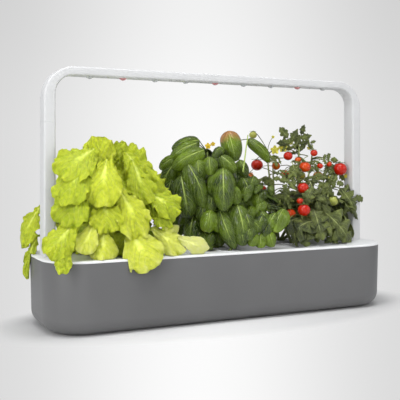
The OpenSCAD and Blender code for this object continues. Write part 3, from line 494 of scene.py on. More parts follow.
keeps_shape(white_plastic, "control_cover", "gauge_cap", "gauge_stem")
for name, colour, roughness, grain, node in (
        ("black_moulding", (0.02, 0.02, 0.022), 0.45, 1500, "power_socket"),
        ("lamp_board_mask", (0.8, 0.82, 0.8), 0.4, 700, "lamp_board"),
        ("led_phosphor", (0.85, 0.68, 0.25), 0.4, 2000, "lamp_leds")):
    plain_finish, plain_shader, plain_place = finish_of(name, colour, roughness)
    grained(plain_place, plain_shader, grain, 0.0001)
    keeps_shape(plain_finish, node)

plating, plating_shader, plating_place = finish_of("contact_plating", (0.78, 0.6, 0.3), 0.3, Metallic=1.0)
plating_stains = plating_place.node("TexNoise", {"Vector": plating_place, "Scale": 60.0})
plating_stains.stepped(0.3, 0.7).mixed((0.72, 0.53, 0.25), (0.84, 0.67, 0.38)).into(
    plating_shader, "Base Color")
keeps_shape(plating, "power_pin", "lid_contacts", "lower_arm_contacts", "upper_arm_contacts",
            "lamp_contacts")

steel, steel_shader, steel_place = finish_of("screw_steel", (0.6, 0.6, 0.61), 0.3, Metallic=1.0)
steel_wear = steel_place.node("TexNoise", {"Vector": steel_place, "Scale": 400.0})
steel_wear.stepped(0.3, 0.7, 0.24, 0.42).into(steel_shader, "Roughness")
keeps_shape(steel, "cover_screws", "lamp_screws")

solder_mask, mask_shader, mask_place = finish_of("solder_mask", (0.03, 0.16, 0.06), 0.35)
mask_lines = mask_place.node("TexChecker", {"Vector": mask_place, "Scale": 260.0,
                                            "Color1": (0.025, 0.14, 0.05, 1),
                                            "Color2": (0.035, 0.19, 0.075, 1)})
mask_lines.into(mask_shader, "Base Color")
keeps_shape(solder_mask, "control_board")

between_wires = (-0.2845, -0.2835)
insulation, insulation_shader, insulation_place = finish_of("wire_insulation", (0.35, 0.07, 0.05), 0.5)
insulation_place.part("X").stepped(*between_wires).mixed((0.42, 0.03, 0.02), (0.03, 0.03, 0.03)).into(
    insulation_shader, "Base Color")
keeps_shape(insulation, "lead_wires")

foam, foam_shader, foam_place = finish_of("float_foam", (0.85, 0.82, 0.74), 0.8)
foam_cells = foam_place.node("TexVoronoi", {"Vector": foam_place, "Scale": 900.0})
foam_place.node("Bump", {"Strength": 0.4, "Distance": 0.0004, "Height": foam_cells}).into(
    foam_shader, "Normal")
foam_cells.stepped(0.1, 0.7).mixed((0.78, 0.74, 0.66), (0.88, 0.85, 0.78)).into(foam_shader, "Base Color")
keeps_shape(foam, "gauge_float")

# ---- Trays, cups, growing blocks and wicks ----------------------------------------
# White trays and cups keep their shapes. The growing blocks are damp peat with pale
# fibres, and the wicks are woven felt.

keeps_shape(white_plastic, *("tray_" + bay for bay in bays), *(f"cup_{i}" for i in range(1, 10)))
peat, peat_shader, peat_place = finish_of("peat_block", (0.05, 0.03, 0.018), 0.95)
crumbs = peat_place.node("TexVoronoi", {"Vector": peat_place, "Scale": 420.0})
fibres = peat_place.node("TexNoise", {"Vector": peat_place, "Scale": 160.0, "Detail": 6.0,
                                      "Distortion": 1.2})
fibres.stepped(0.35, 0.7).mixed((0.018, 0.011, 0.007), (0.10, 0.062, 0.034)).into(peat_shader, "Base Color")
peat_place.node("Bump", {"Strength": 0.9, "Distance": 0.0012, "Height": crumbs + fibres}).into(
    peat_shader, "Normal")
keeps_shape(peat, *("growing_blocks_" + bay for bay in bays))

felt, felt_shader, felt_place = finish_of("wick_felt", (0.78, 0.75, 0.68), 0.95)
weave = felt_place.node("TexWave", {"Vector": felt_place, "Scale": 700.0, "Distortion": 0.6})
weave.stepped(0.1, 0.9).mixed((0.62, 0.58, 0.50), (0.82, 0.79, 0.72)).into(felt_shader, "Base Color")
felt_place.node("Bump", {"Strength": 0.6, "Distance": 0.0004, "Height": weave}).into(
    felt_shader, "Normal")
keeps_shape(felt, *("wicks_" + bay for bay in bays))

# ---- Lamp arms ---------------------------------------------------------------------
# Four hollow white arm pieces, two on each side. Each plugs into the one below it,
# and their ends are eased, so that the seams show as fine lines.

arm_length = 0.1033
arm_edge = 0.003
arm_floor = 0.003
ease = 0.0004
plug_wall = 0.002
plug_bore = [width - 2 * plug_wall for width in plug_size]
eased_size = [width - 2 * ease for width in arm_size]


def arm_rings(bottom, top, x):
    """Closed loop of rings round an arm piece: plug, outside, top edge, bore and the plug's hole."""
    stack = ((plug_bore, bore_corner, bottom - plug_length), (plug_size, bore_corner, bottom - plug_length),
             (plug_size, bore_corner, bottom), (eased_size, arm_edge - ease, bottom),
             (arm_size, arm_edge, bottom + ease), (arm_size, arm_edge, top - ease),
             (eased_size, arm_edge - ease, top), (bore_size, bore_corner, top),
             (bore_size, bore_corner, bottom + arm_floor), (plug_bore, bore_corner, bottom + arm_floor))
    return [[(p[0] + x, p[1], p[2]) for p in rounded_ring(*size, radius, z, 6)]
            for size, radius, z in stack]


arm_plastic = moulded("arm_plastic", ((0.61, 0.615, 0.62), (0.63, 0.635, 0.64)), (0.50, 0.58), 11.0,
                      (1800, 0.00008, 0.3))
for level, low in (("lower", lid_top), ("upper", lid_top + arm_length)):
    for side, sign in (("left", -1), ("right", 1)):
        rings = arm_rings(low, low + arm_length, sign * arm_place)
        arm = skinned(f"{level}_arm_{side}_shell", rings, True)
        painted(smoothed(arm), arm_plastic)
        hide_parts(f"{level}_arm_{side}")
        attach(arm, f"{level}_{side}")

# ---- Lamp arch -----------------------------------------------------------------------
# White moulded arch with a plug at each foot and a slot along its underside that the
# lens cover closes. Its section narrows from the legs to the bar.

arm_span = 0.601
seam = lid_top + 2 * arm_length
lamp_top = seam + 0.088
bar_bottom = lamp_top - 0.014
outer_bend = 0.050
inner_bend = 0.030
bend_steps = 24
slot_size = (0.5004, 0.024)
slot_depth = 0.0062
cut_margin = 0.002


def arch_pairs():
    """Outer and inner points along the arch, from its left foot to its right one."""
    outer, inner = arm_span / 2, arm_span / 2 - arm_size[0]
    half = [((outer - ease, seam), (inner + ease, seam)),
            ((outer, seam + ease), (inner, seam + ease))]
    for i in range(bend_steps + 1):
        a = math.pi / 2 * i / bend_steps
        inward, down = 1 - math.cos(a), 1 - math.sin(a)
        half.append(((outer - outer_bend * inward, lamp_top - outer_bend * down),
                     (inner - inner_bend * inward, bar_bottom - inner_bend * down)))
    left = [[(-x, z) for x, z in pair] for pair in half]
    return left + half[::-1]


arch_rings = []
arch_path = arch_pairs()
for k, pair in enumerate(arch_path):
    outside, inside = np.array(pair)
    middle, across = (outside + inside) / 2, outside - inside
    reach = np.linalg.norm(across)
    across = across / reach
    depth = arm_size[1] - (2 * ease if k in (0, len(arch_path) - 1) else 0)
    arch_rings.append([(middle[0] + across[0] * p[0], -p[1], middle[1] + across[1] * p[0])
                       for p in rounded_ring(reach, depth, arm_edge, 0, 6)])
arch = skinned("lamp_arch", arch_rings)
cut(arch, [column("arch_plug", plug_size, bore_corner, seam - plug_length, seam + cut_margin,
                  side * arm_place) for side in (-1, 1)], "UNION")
cut(arch, [block("cover_slot", (-slot_size[0] / 2, slot_size[0] / 2), (-slot_size[1] / 2, slot_size[1] / 2),
                 (bar_bottom - cut_margin, bar_bottom + slot_depth))])
painted(smoothed(arch), arm_plastic)
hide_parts("lamp_housing")
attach(arch, "lamp")

# ---- Lens cover and lenses --------------------------------------------------------------
# A white strip closes the bar from below. Nine domed lenses stand out of it, six clear
# and three tinted red, each with a small lamp behind it.

lens_pitch = 0.056
lens_radius = 0.006
lens_drop = 0.0036
lens_play = 0.0001
lens_flange = 0.0016
flange_top = 0.0030
cover_size = (0.500, 0.0238)
cover_corner = 0.0006
cover_thickness = 0.0018
cover = column("lens_cover", cover_size, cover_corner, bar_bottom, bar_bottom + cover_thickness, steps=3)
cut(cover, [peg("lens_hole", 2 * lens_radius, bar_bottom - cut_margin, bar_bottom + flange_top,
                i * lens_pitch, steps=8) for i in range(-4, 5)])
painted(smoothed(cover), arm_plastic)
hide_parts("lamp_cover")
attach(cover, "lamp")


def turned_profile(name, profile, steps=32):
    """Solid of revolution about Z through points of radius and height."""
    rings = [[(r * math.cos(2 * math.pi * i / steps), r * math.sin(2 * math.pi * i / steps), z)
              for i in range(steps)] for r, z in profile]
    return skinned(name, rings)


def copies_tree(name, inputs, spread):
    """Node tree that sets copies of a shape on points, with named inputs.

    The inputs besides the shape and its finish are pairs of a name and a kind, and spread adds
    the nodes that make the points and gives their links.
    """
    tree = bpy.data.node_groups.new(name, "GeometryNodeTree")
    tree.interface.new_socket("Geometry", in_out="OUTPUT", socket_type="NodeSocketGeometry")
    for key, kind in (*inputs, ("Shape", "Object"), ("Finish", "Material")):
        tree.interface.new_socket(key, in_out="INPUT", socket_type="NodeSocket" + kind)
    entry, leave = tree.nodes.new("NodeGroupInput"), tree.nodes.new("NodeGroupOutput")
    shape, copies, solid, finish = (tree.nodes.new("GeometryNode" + kind) for kind in (
        "ObjectInfo", "InstanceOnPoints", "RealizeInstances", "SetMaterial"))
    for output, socket in (*spread(tree, entry, copies),
                           (entry.outputs["Shape"], shape.inputs["Object"]),
                           (shape.outputs["Geometry"], copies.inputs["Instance"]),
                           (copies.outputs["Instances"], solid.inputs["Geometry"]),
                           (solid.outputs["Geometry"], finish.inputs["Geometry"]),
                           (entry.outputs["Finish"], finish.inputs["Material"]),
                           (finish.outputs["Geometry"], leave.inputs["Geometry"])):
        tree.links.new(output, socket)
    return tree


def in_a_row(tree, entry, copies):
    """Points in a row, from their count, start and pitch."""
    line = tree.nodes.new("GeometryNodeMeshLine")
    return ((entry.outputs["Count"], line.inputs["Count"]),
            (entry.outputs["Start"], line.inputs["Start Location"]),
            (entry.outputs["Pitch"], line.inputs["Offset"]),
            (line.outputs["Mesh"], copies.inputs["Points"]))


def grown(name, tree, values):
    """Piece that a node tree makes from its named inputs, as a plain mesh."""
    piece = bpy.data.objects.new(name, bpy.data.meshes.new(name))
    bpy.context.scene.collection.objects.link(piece)
    modifier = piece.modifiers.new("grow", "NODES")
    modifier.node_group = tree
    for item in tree.interface.items_tree:
        if item.in_out == "INPUT" and item.name in values:
            modifier[item.identifier] = values[item.name]
    return settled(piece)


bulge = (lens_radius ** 2 + lens_drop ** 2) / (2 * lens_drop)
bowl = lens_radius - lens_play
flange = lens_radius + lens_flange
lens_pole = 0.00005
lens_steps = 8
profile = [(lens_pole, bar_bottom - lens_drop)]
for i in range(1, lens_steps + 1):
    fall = math.asin(bowl / bulge) * i / lens_steps
    profile.append((bulge * math.sin(fall), bar_bottom - lens_drop + bulge * (1 - math.cos(fall))))
profile += [(bowl, bar_bottom + cover_thickness), (flange, bar_bottom + cover_thickness),
            (flange, bar_bottom + flange_top), (lens_pole, bar_bottom + flange_top)]
lens_shape = turned_profile("lens_shape", profile)
lens_tree = copies_tree("lens_row", (("Count", "Int"), ("Start", "Vector"), ("Pitch", "Vector")), in_a_row)
for tint_name, colour, starts, node in (
        ("clear", (0.78, 0.80, 0.82), (-4, -2), "lenses_white"),
        ("red", (0.93, 0.42, 0.44), (-3,), "lenses_red")):
    lens_plastic, lens_shader, lens_place = finish_of(
        tint_name + "_lens_plastic", colour, 0.12, Transmission_Weight=0.35, IOR=1.46, Coat_Weight=0.3)
    lens_wear = lens_place.node("TexNoise", {"Vector": lens_place, "Scale": 300.0})
    lens_wear.stepped(0.3, 0.7, 0.1, 0.16).into(lens_shader, "Roughness")
    for i, start in enumerate(starts):
        row = grown(f"{tint_name}_lens_row_{i}", lens_tree, {
            "Shape": lens_shape, "Count": 3, "Start": (start * lens_pitch, 0, 0),
            "Pitch": (3 * lens_pitch, 0, 0), "Finish": lens_plastic})
        smoothed(row)
        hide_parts(node)
        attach(row, "lamp")
bpy.data.objects.remove(lens_shape)

# ---- Lettuce ------------------------------------------------------------------------------
# Three loose heads grown into one mound of thin crinkled leaves with frilled edges.
# The leaves hang over each other like shingles, and the lowest lie on the lid.

leaf_gap = 0.0006
beside_lid = 0.0015
shortest_stalk = 0.0015
arm_clearance = 0.006
tray_way = (0.148, 0.150)
lift_top = 0.174
cup_bed = 0.1066
cup_pitch = 0.0466
up = np.array([0, 0, 1.0])
foot_rise = 0.004
stalk_back = 0.3
rib_count = 5.5
rib_slant = 0.35
rib_curve = 0.4


def unit(vector):
    return vector / np.linalg.norm(vector, axis=-1, keepdims=True)


def arc(t, start, middle, end):
    """Points at shares t of a curve that leaves its start towards a middle point."""
    return (1 - t) ** 2 * start + 2 * t * (1 - t) * middle + t ** 2 * end


def way_at(turn, height):
    """Direction at an angle round the upright axis and a height angle, in radians."""
    return np.array([math.cos(turn) * math.cos(height), math.sin(turn) * math.cos(height),
                     math.sin(height)])


def view_unit(point):
    """Size in metres of one unit of the view at a point."""
    return np.linalg.norm(point - camera_place) / (focal * view_width)


def eased_below(value, limit, softness=0.005):
    """Keeps a value under a limit and slows it down before it gets there."""
    return limit - softness * np.logaddexp(0, (limit - value) / softness)


def leaf_rows(count):
    """Shares of a leaf's length, closer together at both ends."""
    return 0.5 - 0.5 * np.cos(np.pi * np.linspace(0, 1, count))[:, None]


class Foliage:
    """Gathers the leaves and stems of one kind into one mesh, with UVs and a tone for each."""

    def __init__(self, seed, bounded):
        self.random = np.random.default_rng(seed)
        self.bounded = bounded
        self.points, self.faces, self.spots, self.tones = [], [], [], []
        self.total = 0
        self.twigs = []

    def add(self, points, faces, spots, tone):
        self.points.append(points)
        self.faces += (np.asarray(faces) + self.total).tolist()
        self.spots.append(spots)
        self.tones.append(np.broadcast_to(tone, len(points)))
        self.total += len(points)

    def sheet(self, grid, u, v, tone, thickness):
        """Thin closed sheet through a grid of points."""
        grid = self.bounded(grid)
        rows, columns = grid.shape[:2]
        normal = unit(np.cross(np.gradient(grid, axis=0), np.gradient(grid, axis=1)) + 1e-12)
        points = np.concatenate([(grid + side * normal * thickness / 2).reshape(-1, 3)
                                 for side in (1, -1)])
        index = np.arange(rows * columns).reshape(rows, columns)
        a, b, c, d = index[:-1, :-1], index[1:, :-1], index[1:, 1:], index[:-1, 1:]
        top = np.stack([a, b, c, d], -1).reshape(-1, 4)
        loop = np.concatenate([index[:-1, 0], index[-1, :-1], index[:0:-1, -1], index[0, :0:-1]])
        after = np.roll(loop, -1)
        under = rows * columns
        rim_faces = np.stack([after, loop, loop + under, after + under], -1)
        faces = np.concatenate([top, top[:, ::-1] + under, rim_faces])
        u, v, tone = (np.broadcast_to(value, (rows, columns)) for value in (u, v / 2 + 0.5, tone))
        spots = np.tile(np.stack([u, v], -1).reshape(-1, 2), (2, 1))
        self.add(points, faces, spots, np.tile(tone.reshape(-1), 2))

    def stem(self, path, thick, thin, tone=0.5, sides=7, known=True, spot=0.5):
        """Tapered round stem along a path. Leaves find the stems that are known."""
        path = np.asarray(path, float)
        count = len(path)
        tangent = unit(np.gradient(path, axis=0))
        side = unit(np.cross(tangent, np.array([0.31, 0.95, 0.05])))
        face = np.cross(side, tangent)
        turn = np.linspace(0, 2 * np.pi, sides, endpoint=False)
        radius = np.linspace(thick, thin, count)[:, None, None]
        rings = path[:, None] + radius * (side[:, None] * np.cos(turn)[None, :, None]
                                          + face[:, None] * np.sin(turn)[None, :, None])
        points = np.concatenate([rings.reshape(-1, 3), path[:1], path[-1:]])
        i, j = np.meshgrid(np.arange(count - 1), np.arange(sides), indexing="ij")
        k = (j + 1) % sides
        body = np.stack([i * sides + j, (i + 1) * sides + j, (i + 1) * sides + k, i * sides + k], -1)
        base, last = self.total, (count - 1) * sides
        j, k = j[0], k[0]
        foot, head = np.full(sides, count * sides), np.full(sides, count * sides + 1)
        self.add(points, body.reshape(-1, 4), np.full((len(points), 2), (0.5, spot)), tone)
        self.faces += (np.stack([foot, j, k], -1) + base).tolist()
        self.faces += (np.stack([head, last + k, last + j], -1) + base).tolist()
        if known:
            self.twigs += list(path)

    def stalk(self, tip, thick, sag=0.15):
        """Short stalk to a leaf or a fruit from the nearest known stem below and behind it."""
        twigs = np.array(self.twigs)
        cost = (np.linalg.norm(twigs - tip, axis=1) + 2 * np.maximum(0, tip[1] - twigs[:, 1])
                + 3 * np.maximum(0, twigs[:, 2] - tip[2] - foot_rise))
        foot = twigs[np.argmin(cost)]
        if np.linalg.norm(tip - foot) < shortest_stalk:
            return
        t = np.linspace(0, 1, 6)[:, None]
        middle = (foot + tip) / 2 + np.linalg.norm(tip - foot) * np.array([0, stalk_back, sag])
        path = self.bounded(arc(t, foot, middle, tip))
        self.stem(path, thick, thick * 0.8, 0.35, sides=6, known=False, spot=0.62)

    def leaf(self, base, tip, wide, out, outline, bow=0.15, cup=0.15, fold=0.0, frill=0.0, waves=7,
             blister=0.0, patch=0.009, quilt=0.0, ragged=0.0, tone=0.5, size=(20, 13),
             thickness=0.0005):
        """Leaf from its base to its tip, with its upper face towards a direction.

        It bows along its length, cups across, folds in wide waves, frills at its edge and
        rises in blisters, or in a quilt between side ribs.
        """
        u = leaf_rows(size[0])
        v = np.linspace(-1, 1, size[1])[None, :]
        base, tip = np.asarray(base, float), np.asarray(tip, float)
        chord = tip - base
        length = np.linalg.norm(chord)
        out = unit(out - chord * (out @ chord) / length ** 2)
        control = (base + tip) / 2 + out * bow * length
        spine = arc(u, base, control, tip)
        tangent = unit(np.gradient(spine, axis=0))
        side = unit(np.cross(tangent, out))
        face = np.cross(side, tangent)
        half = wide / 2 * outline(u)
        edge = 1 - (1 - np.abs(v) ** 3) * (1 - u ** 6)
        turn = np.arctan2(v * half, (u - 0.4) * length)
        shift = self.random.uniform(0, 6.28, 5)
        ripple = np.sin(waves * turn + shift[0]) + 0.6 * np.sin(2.3 * waves * turn + shift[1])
        rows, columns = u * length / patch + shift[2], v * half / patch + shift[3]
        rows = rows + 0.8 * np.sin(1.3 * columns + shift[0])
        columns = columns + 0.8 * np.sin(1.1 * rows + shift[1])
        bumps = 2 * np.abs(np.sin(np.pi * rows) * np.sin(np.pi * columns)) ** 0.7 - 1
        swell = (np.abs(np.cos(np.pi * rib_count * (u - rib_slant * np.abs(v) - rib_curve * v ** 2)))
                 * np.minimum(1, 5 * np.abs(v)))
        rise = (fold * edge * np.sin(2.6 * turn + shift[4])
                + frill * edge ** 1.5 * ripple + blister * bumps * (1 - edge ** 2)
                + quilt * swell * (1 - np.abs(v) ** 4) * np.sin(np.pi * np.clip(u * 1.05, 0, 1)))
        notches = (0.5 * np.sin(1.1 * waves * turn + shift[4])
                   + 0.6 * np.sin(3.2 * waves * turn + shift[3]))
        across = v * half * (1 - 0.2 * abs(cup) * v ** 2) * (1 + ragged * edge * notches)
        along = ragged * length * 0.5 * edge * np.sin(1.3 * waves * turn + shift[2])
        grid = (spine[:, None] + side[:, None] * across[..., None] + face[:, None] * rise[..., None]
                + tangent[:, None] * (along * u)[..., None] - out * (cup * half * v ** 2)[..., None])
        # The tone is painted lighter on the blisters' tops and the domes between the side ribs, and at the
        # margin lighter on the frills' crests and darker in their troughs: painted highlight and shade.
        shade = (tone + 0.08 * bumps * (blister > 0) * (1 - edge ** 2)
                 + 0.12 * (ripple + 1) * edge * (frill > 0) + 0.25 * (swell - 0.6) * (quilt > 0))
        self.sheet(grid, u, v, shade, thickness)

    def piece(self, name):
        """The gathered mesh as one piece, shaded smooth."""
        points, spots = np.concatenate(self.points), np.concatenate(self.spots)
        mesh = bpy.data.meshes.new(name)
        mesh.from_pydata(points.tolist(), [], self.faces)
        corner = np.empty(len(mesh.loops), int)
        mesh.loops.foreach_get("vertex_index", corner)
        uv = mesh.uv_layers.new(name="UVMap")
        uv.data.foreach_set("uv", spots[corner].astype(np.float32).ravel())
        tone = mesh.attributes.new("tone", "FLOAT", "POINT")
        tone.data.foreach_set("value", np.concatenate(self.tones).astype(np.float32))
        mesh.shade_smooth()
        made = bpy.data.objects.new(name, mesh)
        bpy.context.scene.collection.objects.link(made)
        return made


def within_outline(points, grow):
    """True where a point stands over the tank, or less than a distance beside it."""
    x = np.maximum(np.abs(points[..., 0]) - (tank_size[0] / 2 - tank_corner), 0)
    y = np.maximum(np.abs(points[..., 1]) - (tank_size[1] / 2 - tank_corner), 0)
    return np.hypot(x, y) < tank_corner + grow


def over_lid(points):
    """Lifts points that stand over the tank onto the lid."""
    points = points.copy()
    low = within_outline(points, beside_lid)
    points[..., 2] = np.where(low, np.maximum(points[..., 2], lid_top + leaf_gap), points[..., 2])
    return points


def clear_of(points, middle, size, top=1.0):
    """Moves a leaf's points out of an upright box, all by the side or top that is nearest."""
    x, y, z = points[..., 0] - middle[0], points[..., 1] - middle[1], points[..., 2]
    depth = np.stack([size[0] / 2 - np.abs(x), size[1] / 2 - np.abs(y), top - z])
    inside = depth.min(axis=0) > 0
    if inside.any():
        axis = int(np.argmin([d[inside].max() for d in depth]))
        side = (middle[0] + np.sign(x[inside].mean()) * size[0] / 2,
                middle[1] + np.sign(y[inside].mean()) * size[1] / 2, top)[axis]
        points[..., axis] = np.where(inside, side, points[..., axis])
    return points


def clear_of_arm(points, sign):
    return clear_of(points, (sign * arm_place, 0), [width + arm_clearance for width in arm_size])


def clear_of_trays(points, *places):
    """Keeps points out of the way up of trays that lift past them, from their pitch numbers."""
    for place in places:
        points = clear_of(points, (place * tray_pitch, 0), tray_way, lift_top)
    return points


# Each edge between two trays' plants is a row of points of Y and X.
lettuce_edge = ((-0.200, -0.0434), (-0.050, -0.0434), (-0.025, -0.0804), (0.010, -0.0844),
                (0.035, -0.1024), (0.200, -0.1024))
lettuce_left = 0.3205
lettuce_back = 0.134
lid_softness = 0.001


def edge_at(edge, points):
    """X of an edge at the Y of each point."""
    return np.interp(points[..., 1], *zip(*edge))


def lettuce_bounds(points):
    points = over_lid(points)
    points[..., 0] = eased_below(points[..., 0], edge_at(lettuce_edge, points))
    points[..., 0] = -eased_below(-points[..., 0], lettuce_left, lid_softness)
    points[..., 1] = eased_below(points[..., 1], lettuce_back)
    return clear_of_arm(clear_of_trays(points, 0), -1)


def lettuce_outline(u):
    widening = 0.22 + 0.78 * np.sin(np.pi / 2 * np.minimum(u / 0.68, 1)) ** 1.3
    return widening * np.maximum(1 - u ** 6, 0.0004) ** 0.5


lettuce = Foliage(5, lettuce_bounds)
mound = np.array([-0.190, 0.012, 0.165])
mound_size = np.array([0.084, 0.092, 0.100])
heads = (-0.048, 0, 0.048)
coarse, medium, fine = (15, 13), (24, 21), (31, 28)
for y in heads:
    t = np.linspace(0, 1, 8)[:, None]
    foot = np.array([-tray_pitch, y, cup_bed])
    lettuce.stem(foot + t * (mound + np.array([0, y * 0.6, 0]) - foot), 0.007, 0.005)


def lettuce_leaf(base, tip, wide, out=None, hidden=False, **form):
    middle = (base + tip) / 2
    out = unit(middle - mound) + 0.25 * up if out is None else out
    form = {"bow": 0.18, "cup": 0.15, "fold": 0.004, "frill": 0.0058, "waves": 9, "blister": 0.0015,
            "patch": 0.0085, "ragged": 0.05, **form}
    lettuce.leaf(base, tip, wide, out, lettuce_outline, **form)
    if not hidden:
        lettuce.stalk(base, 0.0022, 0.0)


def on_mound(turn, height, swell):
    return mound + swell * mound_size * way_at(turn, height)


# Each layer is its share of the mound's size and its rings of leaves: a height angle and a count.
mound_layers = ((0.74, ((1.2, 4), (0.55, 8), (-0.1, 9))),
                (0.94, ((1.45, 4), (0.95, 8), (0.35, 12), (-0.25, 11))))
mound_front = 0.35
camera_side = math.atan2(camera_place[1] - mound[1], camera_place[0] - mound[0])
for layer, rings in mound_layers:
    hidden = layer < 0.8
    for height, count in rings:
        for i in range(count):
            turn = 2 * math.pi * (i + lettuce.random.uniform(-0.2, 0.2)) / count + height
            front = math.cos(turn - camera_side) > mound_front and not hidden
            swell = layer * (0.86 if front else 1.0) * lettuce.random.uniform(0.96, 1.05)
            # Leaves of the inner layer get a tone 0.25 lower: painted shade inside the mound.
            lettuce_leaf(on_mound(turn, height + 0.42, swell),
                         on_mound(turn, height - 0.45, swell * 1.06),
                         lettuce.random.uniform(0.052, 0.066), hidden=hidden,
                         size=fine if front else coarse if hidden else medium,
                         tone=lettuce.random.uniform(0.25, 0.6) - (0.25 if hidden else 0))


def ends_in_view(base, tip, depth):
    """Ends of a leaf from their places in the view and two depths, and the way to the camera."""
    base, tip = seen(*base, depth[0] / 1000), seen(*tip, depth[1] / 1000)
    return base, tip, unit(camera_place - (base + tip) / 2)


# Front leaves: base and tip in the view, width in the view, depths in mm, tone, own form
near_flat = {"frill": 0.002, "ragged": 0.015}
front_lettuce_leaves = (
    ((101, 178), (98, 137), 33, (-24, -30), 0.72, {"cup": 0.45}),
    ((118, 168), (122, 141), 17, (-10, -14), 0.5, {"cup": 0.5}),
    ((120, 178), (138, 145), 30, (-16, -14), 0.55, {"cup": 0.4}),
    ((96, 148), (61, 178), 40, (-28, -52), 0.5, {}),
    ((90, 158), (62, 205), 36, (-38, -64), 0.45, {}),
    ((125, 152), (149, 188), 32, (-20, -45), 0.55, {}),
    ((132, 160), (146, 205), 28, (-34, -62), 0.5, {}),
    ((107, 160), (100, 207), 38, (-42, -78), 0.75, {"bow": 0.3}),
    ((84, 190), (62, 226), 36, (-52, -72), 0.4, {}),
    ((104, 199), (108, 234), 32, (-60, -84), 0.66, {"bow": 0.3}),
    ((120, 190), (141, 239), 33, (-60, -90), 0.85, {"bow": 0.28}),
    ((150, 168), (158, 205), 24, (-20, -48), 0.55, {}),
    ((146, 192), (179, 214), 28, (-48, -76), 0.45, {}),
    ((150, 205), (172, 228), 22, (-52, -76), 0.4, {}),
    ((104, 232), (103, 260), 31, (-74, -88), 0.95, {"blister": 0.0006, "cup": 0.6, **near_flat}),
    ((93, 225), (82, 254), 22, (-72, -86), 1.0, {"blister": 0.0005, **near_flat}),
    ((74, 224), (48, 258), 30, (-66, -92), 0.55, {}),
    ((62, 244), (64, 274), 16, (-88, -99), 0.5, {"frill": 0.003}),
    ((130, 233), (152, 269), 42, (-76, -103), 0.95,
     {"blister": 0.0006, "frill": 0.0028, "ragged": 0.015, "bow": 0.26}),
    ((152, 240), (181, 227), 13, (-66, -60), 1.15, {"blister": 0.0004, "frill": 0.0015, "cup": 0.6}),
    ((152, 228), (183, 253), 24, (-64, -84), 1.05, {"blister": 0.0006, "fold": 0.006}),
    ((178, 238), (208, 250), 18, (-78, -90), 1.3, {"blister": 0.0003, "frill": 0.001, "cup": 0.4}),
    ((41, 206), (21, 247), 22, (30, 52), 0.55, {}),
    ((36, 236), (27, 280), 12, (30, 44), 0.4, {"frill": 0.003}))
for base, tip, wide, depth, tone, form in front_lettuce_leaves:
    base, tip, toward = ends_in_view(base, tip, depth)
    out = unit((base + tip) / 2 - mound) * 0.5 + toward * 0.8 + 0.25 * up
    lettuce_leaf(base, tip, wide * view_unit(tip) * 1.15, out, tone=tone, size=fine, **form)


def leaf_finish(name, deep, bright, vein, laterals, slope, rough, rise=0.0012, mottle=70, sheen=0.5,
                marked=0.6, midrib=(0.10, 1.0), patchy=0.5):
    """Leaf material: its tone, mottling, and a midrib and side veins that are a little sunk."""
    material, shader, place = finish_of(name, bright, rough, Specular_IOR_Level=sheen)
    spot = place.node("TexCoord", output=2)
    tone = place.node("Attribute", output=2, attribute_name="tone")
    along, across = spot.part("X"), abs(spot.part("Y") * 2.0 - 1.0)
    patches = place.node("TexNoise", {"Vector": place, "Scale": mottle, "Detail": 4.0})
    rib = across.stepped(midrib[0], 0.015) * along.stepped(midrib[1], 0.35 * midrib[1])
    order = (along - across * (across * 0.4 + slope)) * laterals
    line = abs(order.maths("FRACT", order) - 0.5).stepped(0.13, 0.0) * across.stepped(1.05, 0.55)
    cells = place.node("TexVoronoi", {"Vector": place, "Scale": mottle * 5}, feature="DISTANCE_TO_EDGE")
    veins = rib.maths("MAXIMUM", rib, line * 0.7)
    veins = veins.maths("MAXIMUM", veins, cells.stepped(0.07, 0.0) * 0.28)
    share = tone * 0.75 + patches.stepped(0.3, 0.75, 0.1 - 0.4 * patchy, 0.1 + 0.6 * patchy)
    body = share.maths("MINIMUM", share, 1.0).mixed(deep, bright)
    (veins * marked).mixed(body, vein).into(shader, "Base Color")
    patches.stepped(0.3, 0.7, rough - 0.06, rough + 0.1).into(shader, "Roughness")
    place.node("Bump", {"Strength": 0.75, "Distance": rise, "Height": patches * 0.5 - veins}).into(
        shader, "Normal")
    return material, shader


def toned_over(material, shader, *steps):
    """Covers a leaf's colour with others where its tone passes from a low to a high value."""
    colour = Wire(material.node_tree, shader.inputs["Base Color"].links[0].from_socket)
    tone = colour.node("Attribute", output=2, attribute_name="tone")
    for low, high, other in steps:
        colour = tone.stepped(low, high).mixed(colour, other)
    colour.into(shader, "Base Color")


lettuce_piece = lettuce.piece("lettuce")
lettuce_finish, lettuce_shader = leaf_finish(
    "lettuce_leaf", (0.19, 0.34, 0.004), (0.83, 0.91, 0.042), (0.86, 0.91, 0.26), 5, 0.5, 0.34,
    rise=0.0034, mottle=190, sheen=0.3, marked=0.45, midrib=(0.24, 0.7), patchy=0.28)
# Where the tone runs above 0.8, on the brightest front leaves and the lightest crests, the colour turns
# pale yellow: painted highlight.
toned_over(lettuce_finish, lettuce_shader, (0.8, 1.6, (0.86, 0.88, 0.36)))
lettuce_shader.inputs["Subsurface Weight"].default_value = 0.15
lettuce_shader.inputs["Subsurface Scale"].default_value = 0.004
lettuce_shader.inputs["Subsurface Radius"].default_value = (1.0, 1.0, 0.2)
painted(lettuce_piece, lettuce_finish)
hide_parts("lettuce_plants")
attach(lettuce_piece, "tray_left")

# ---- Basil ----------------------------------------------------------------------------------
# Three bushy plants with eight stems between them. Broad glossy leaves hang from them,
# domed between their side veins, and crowd into one dark mass.

basil_edge = ((-0.200, 0.1174), (-0.030, 0.1174), (0.020, 0.0914), (0.200, 0.0914))
basil_front = 0.096


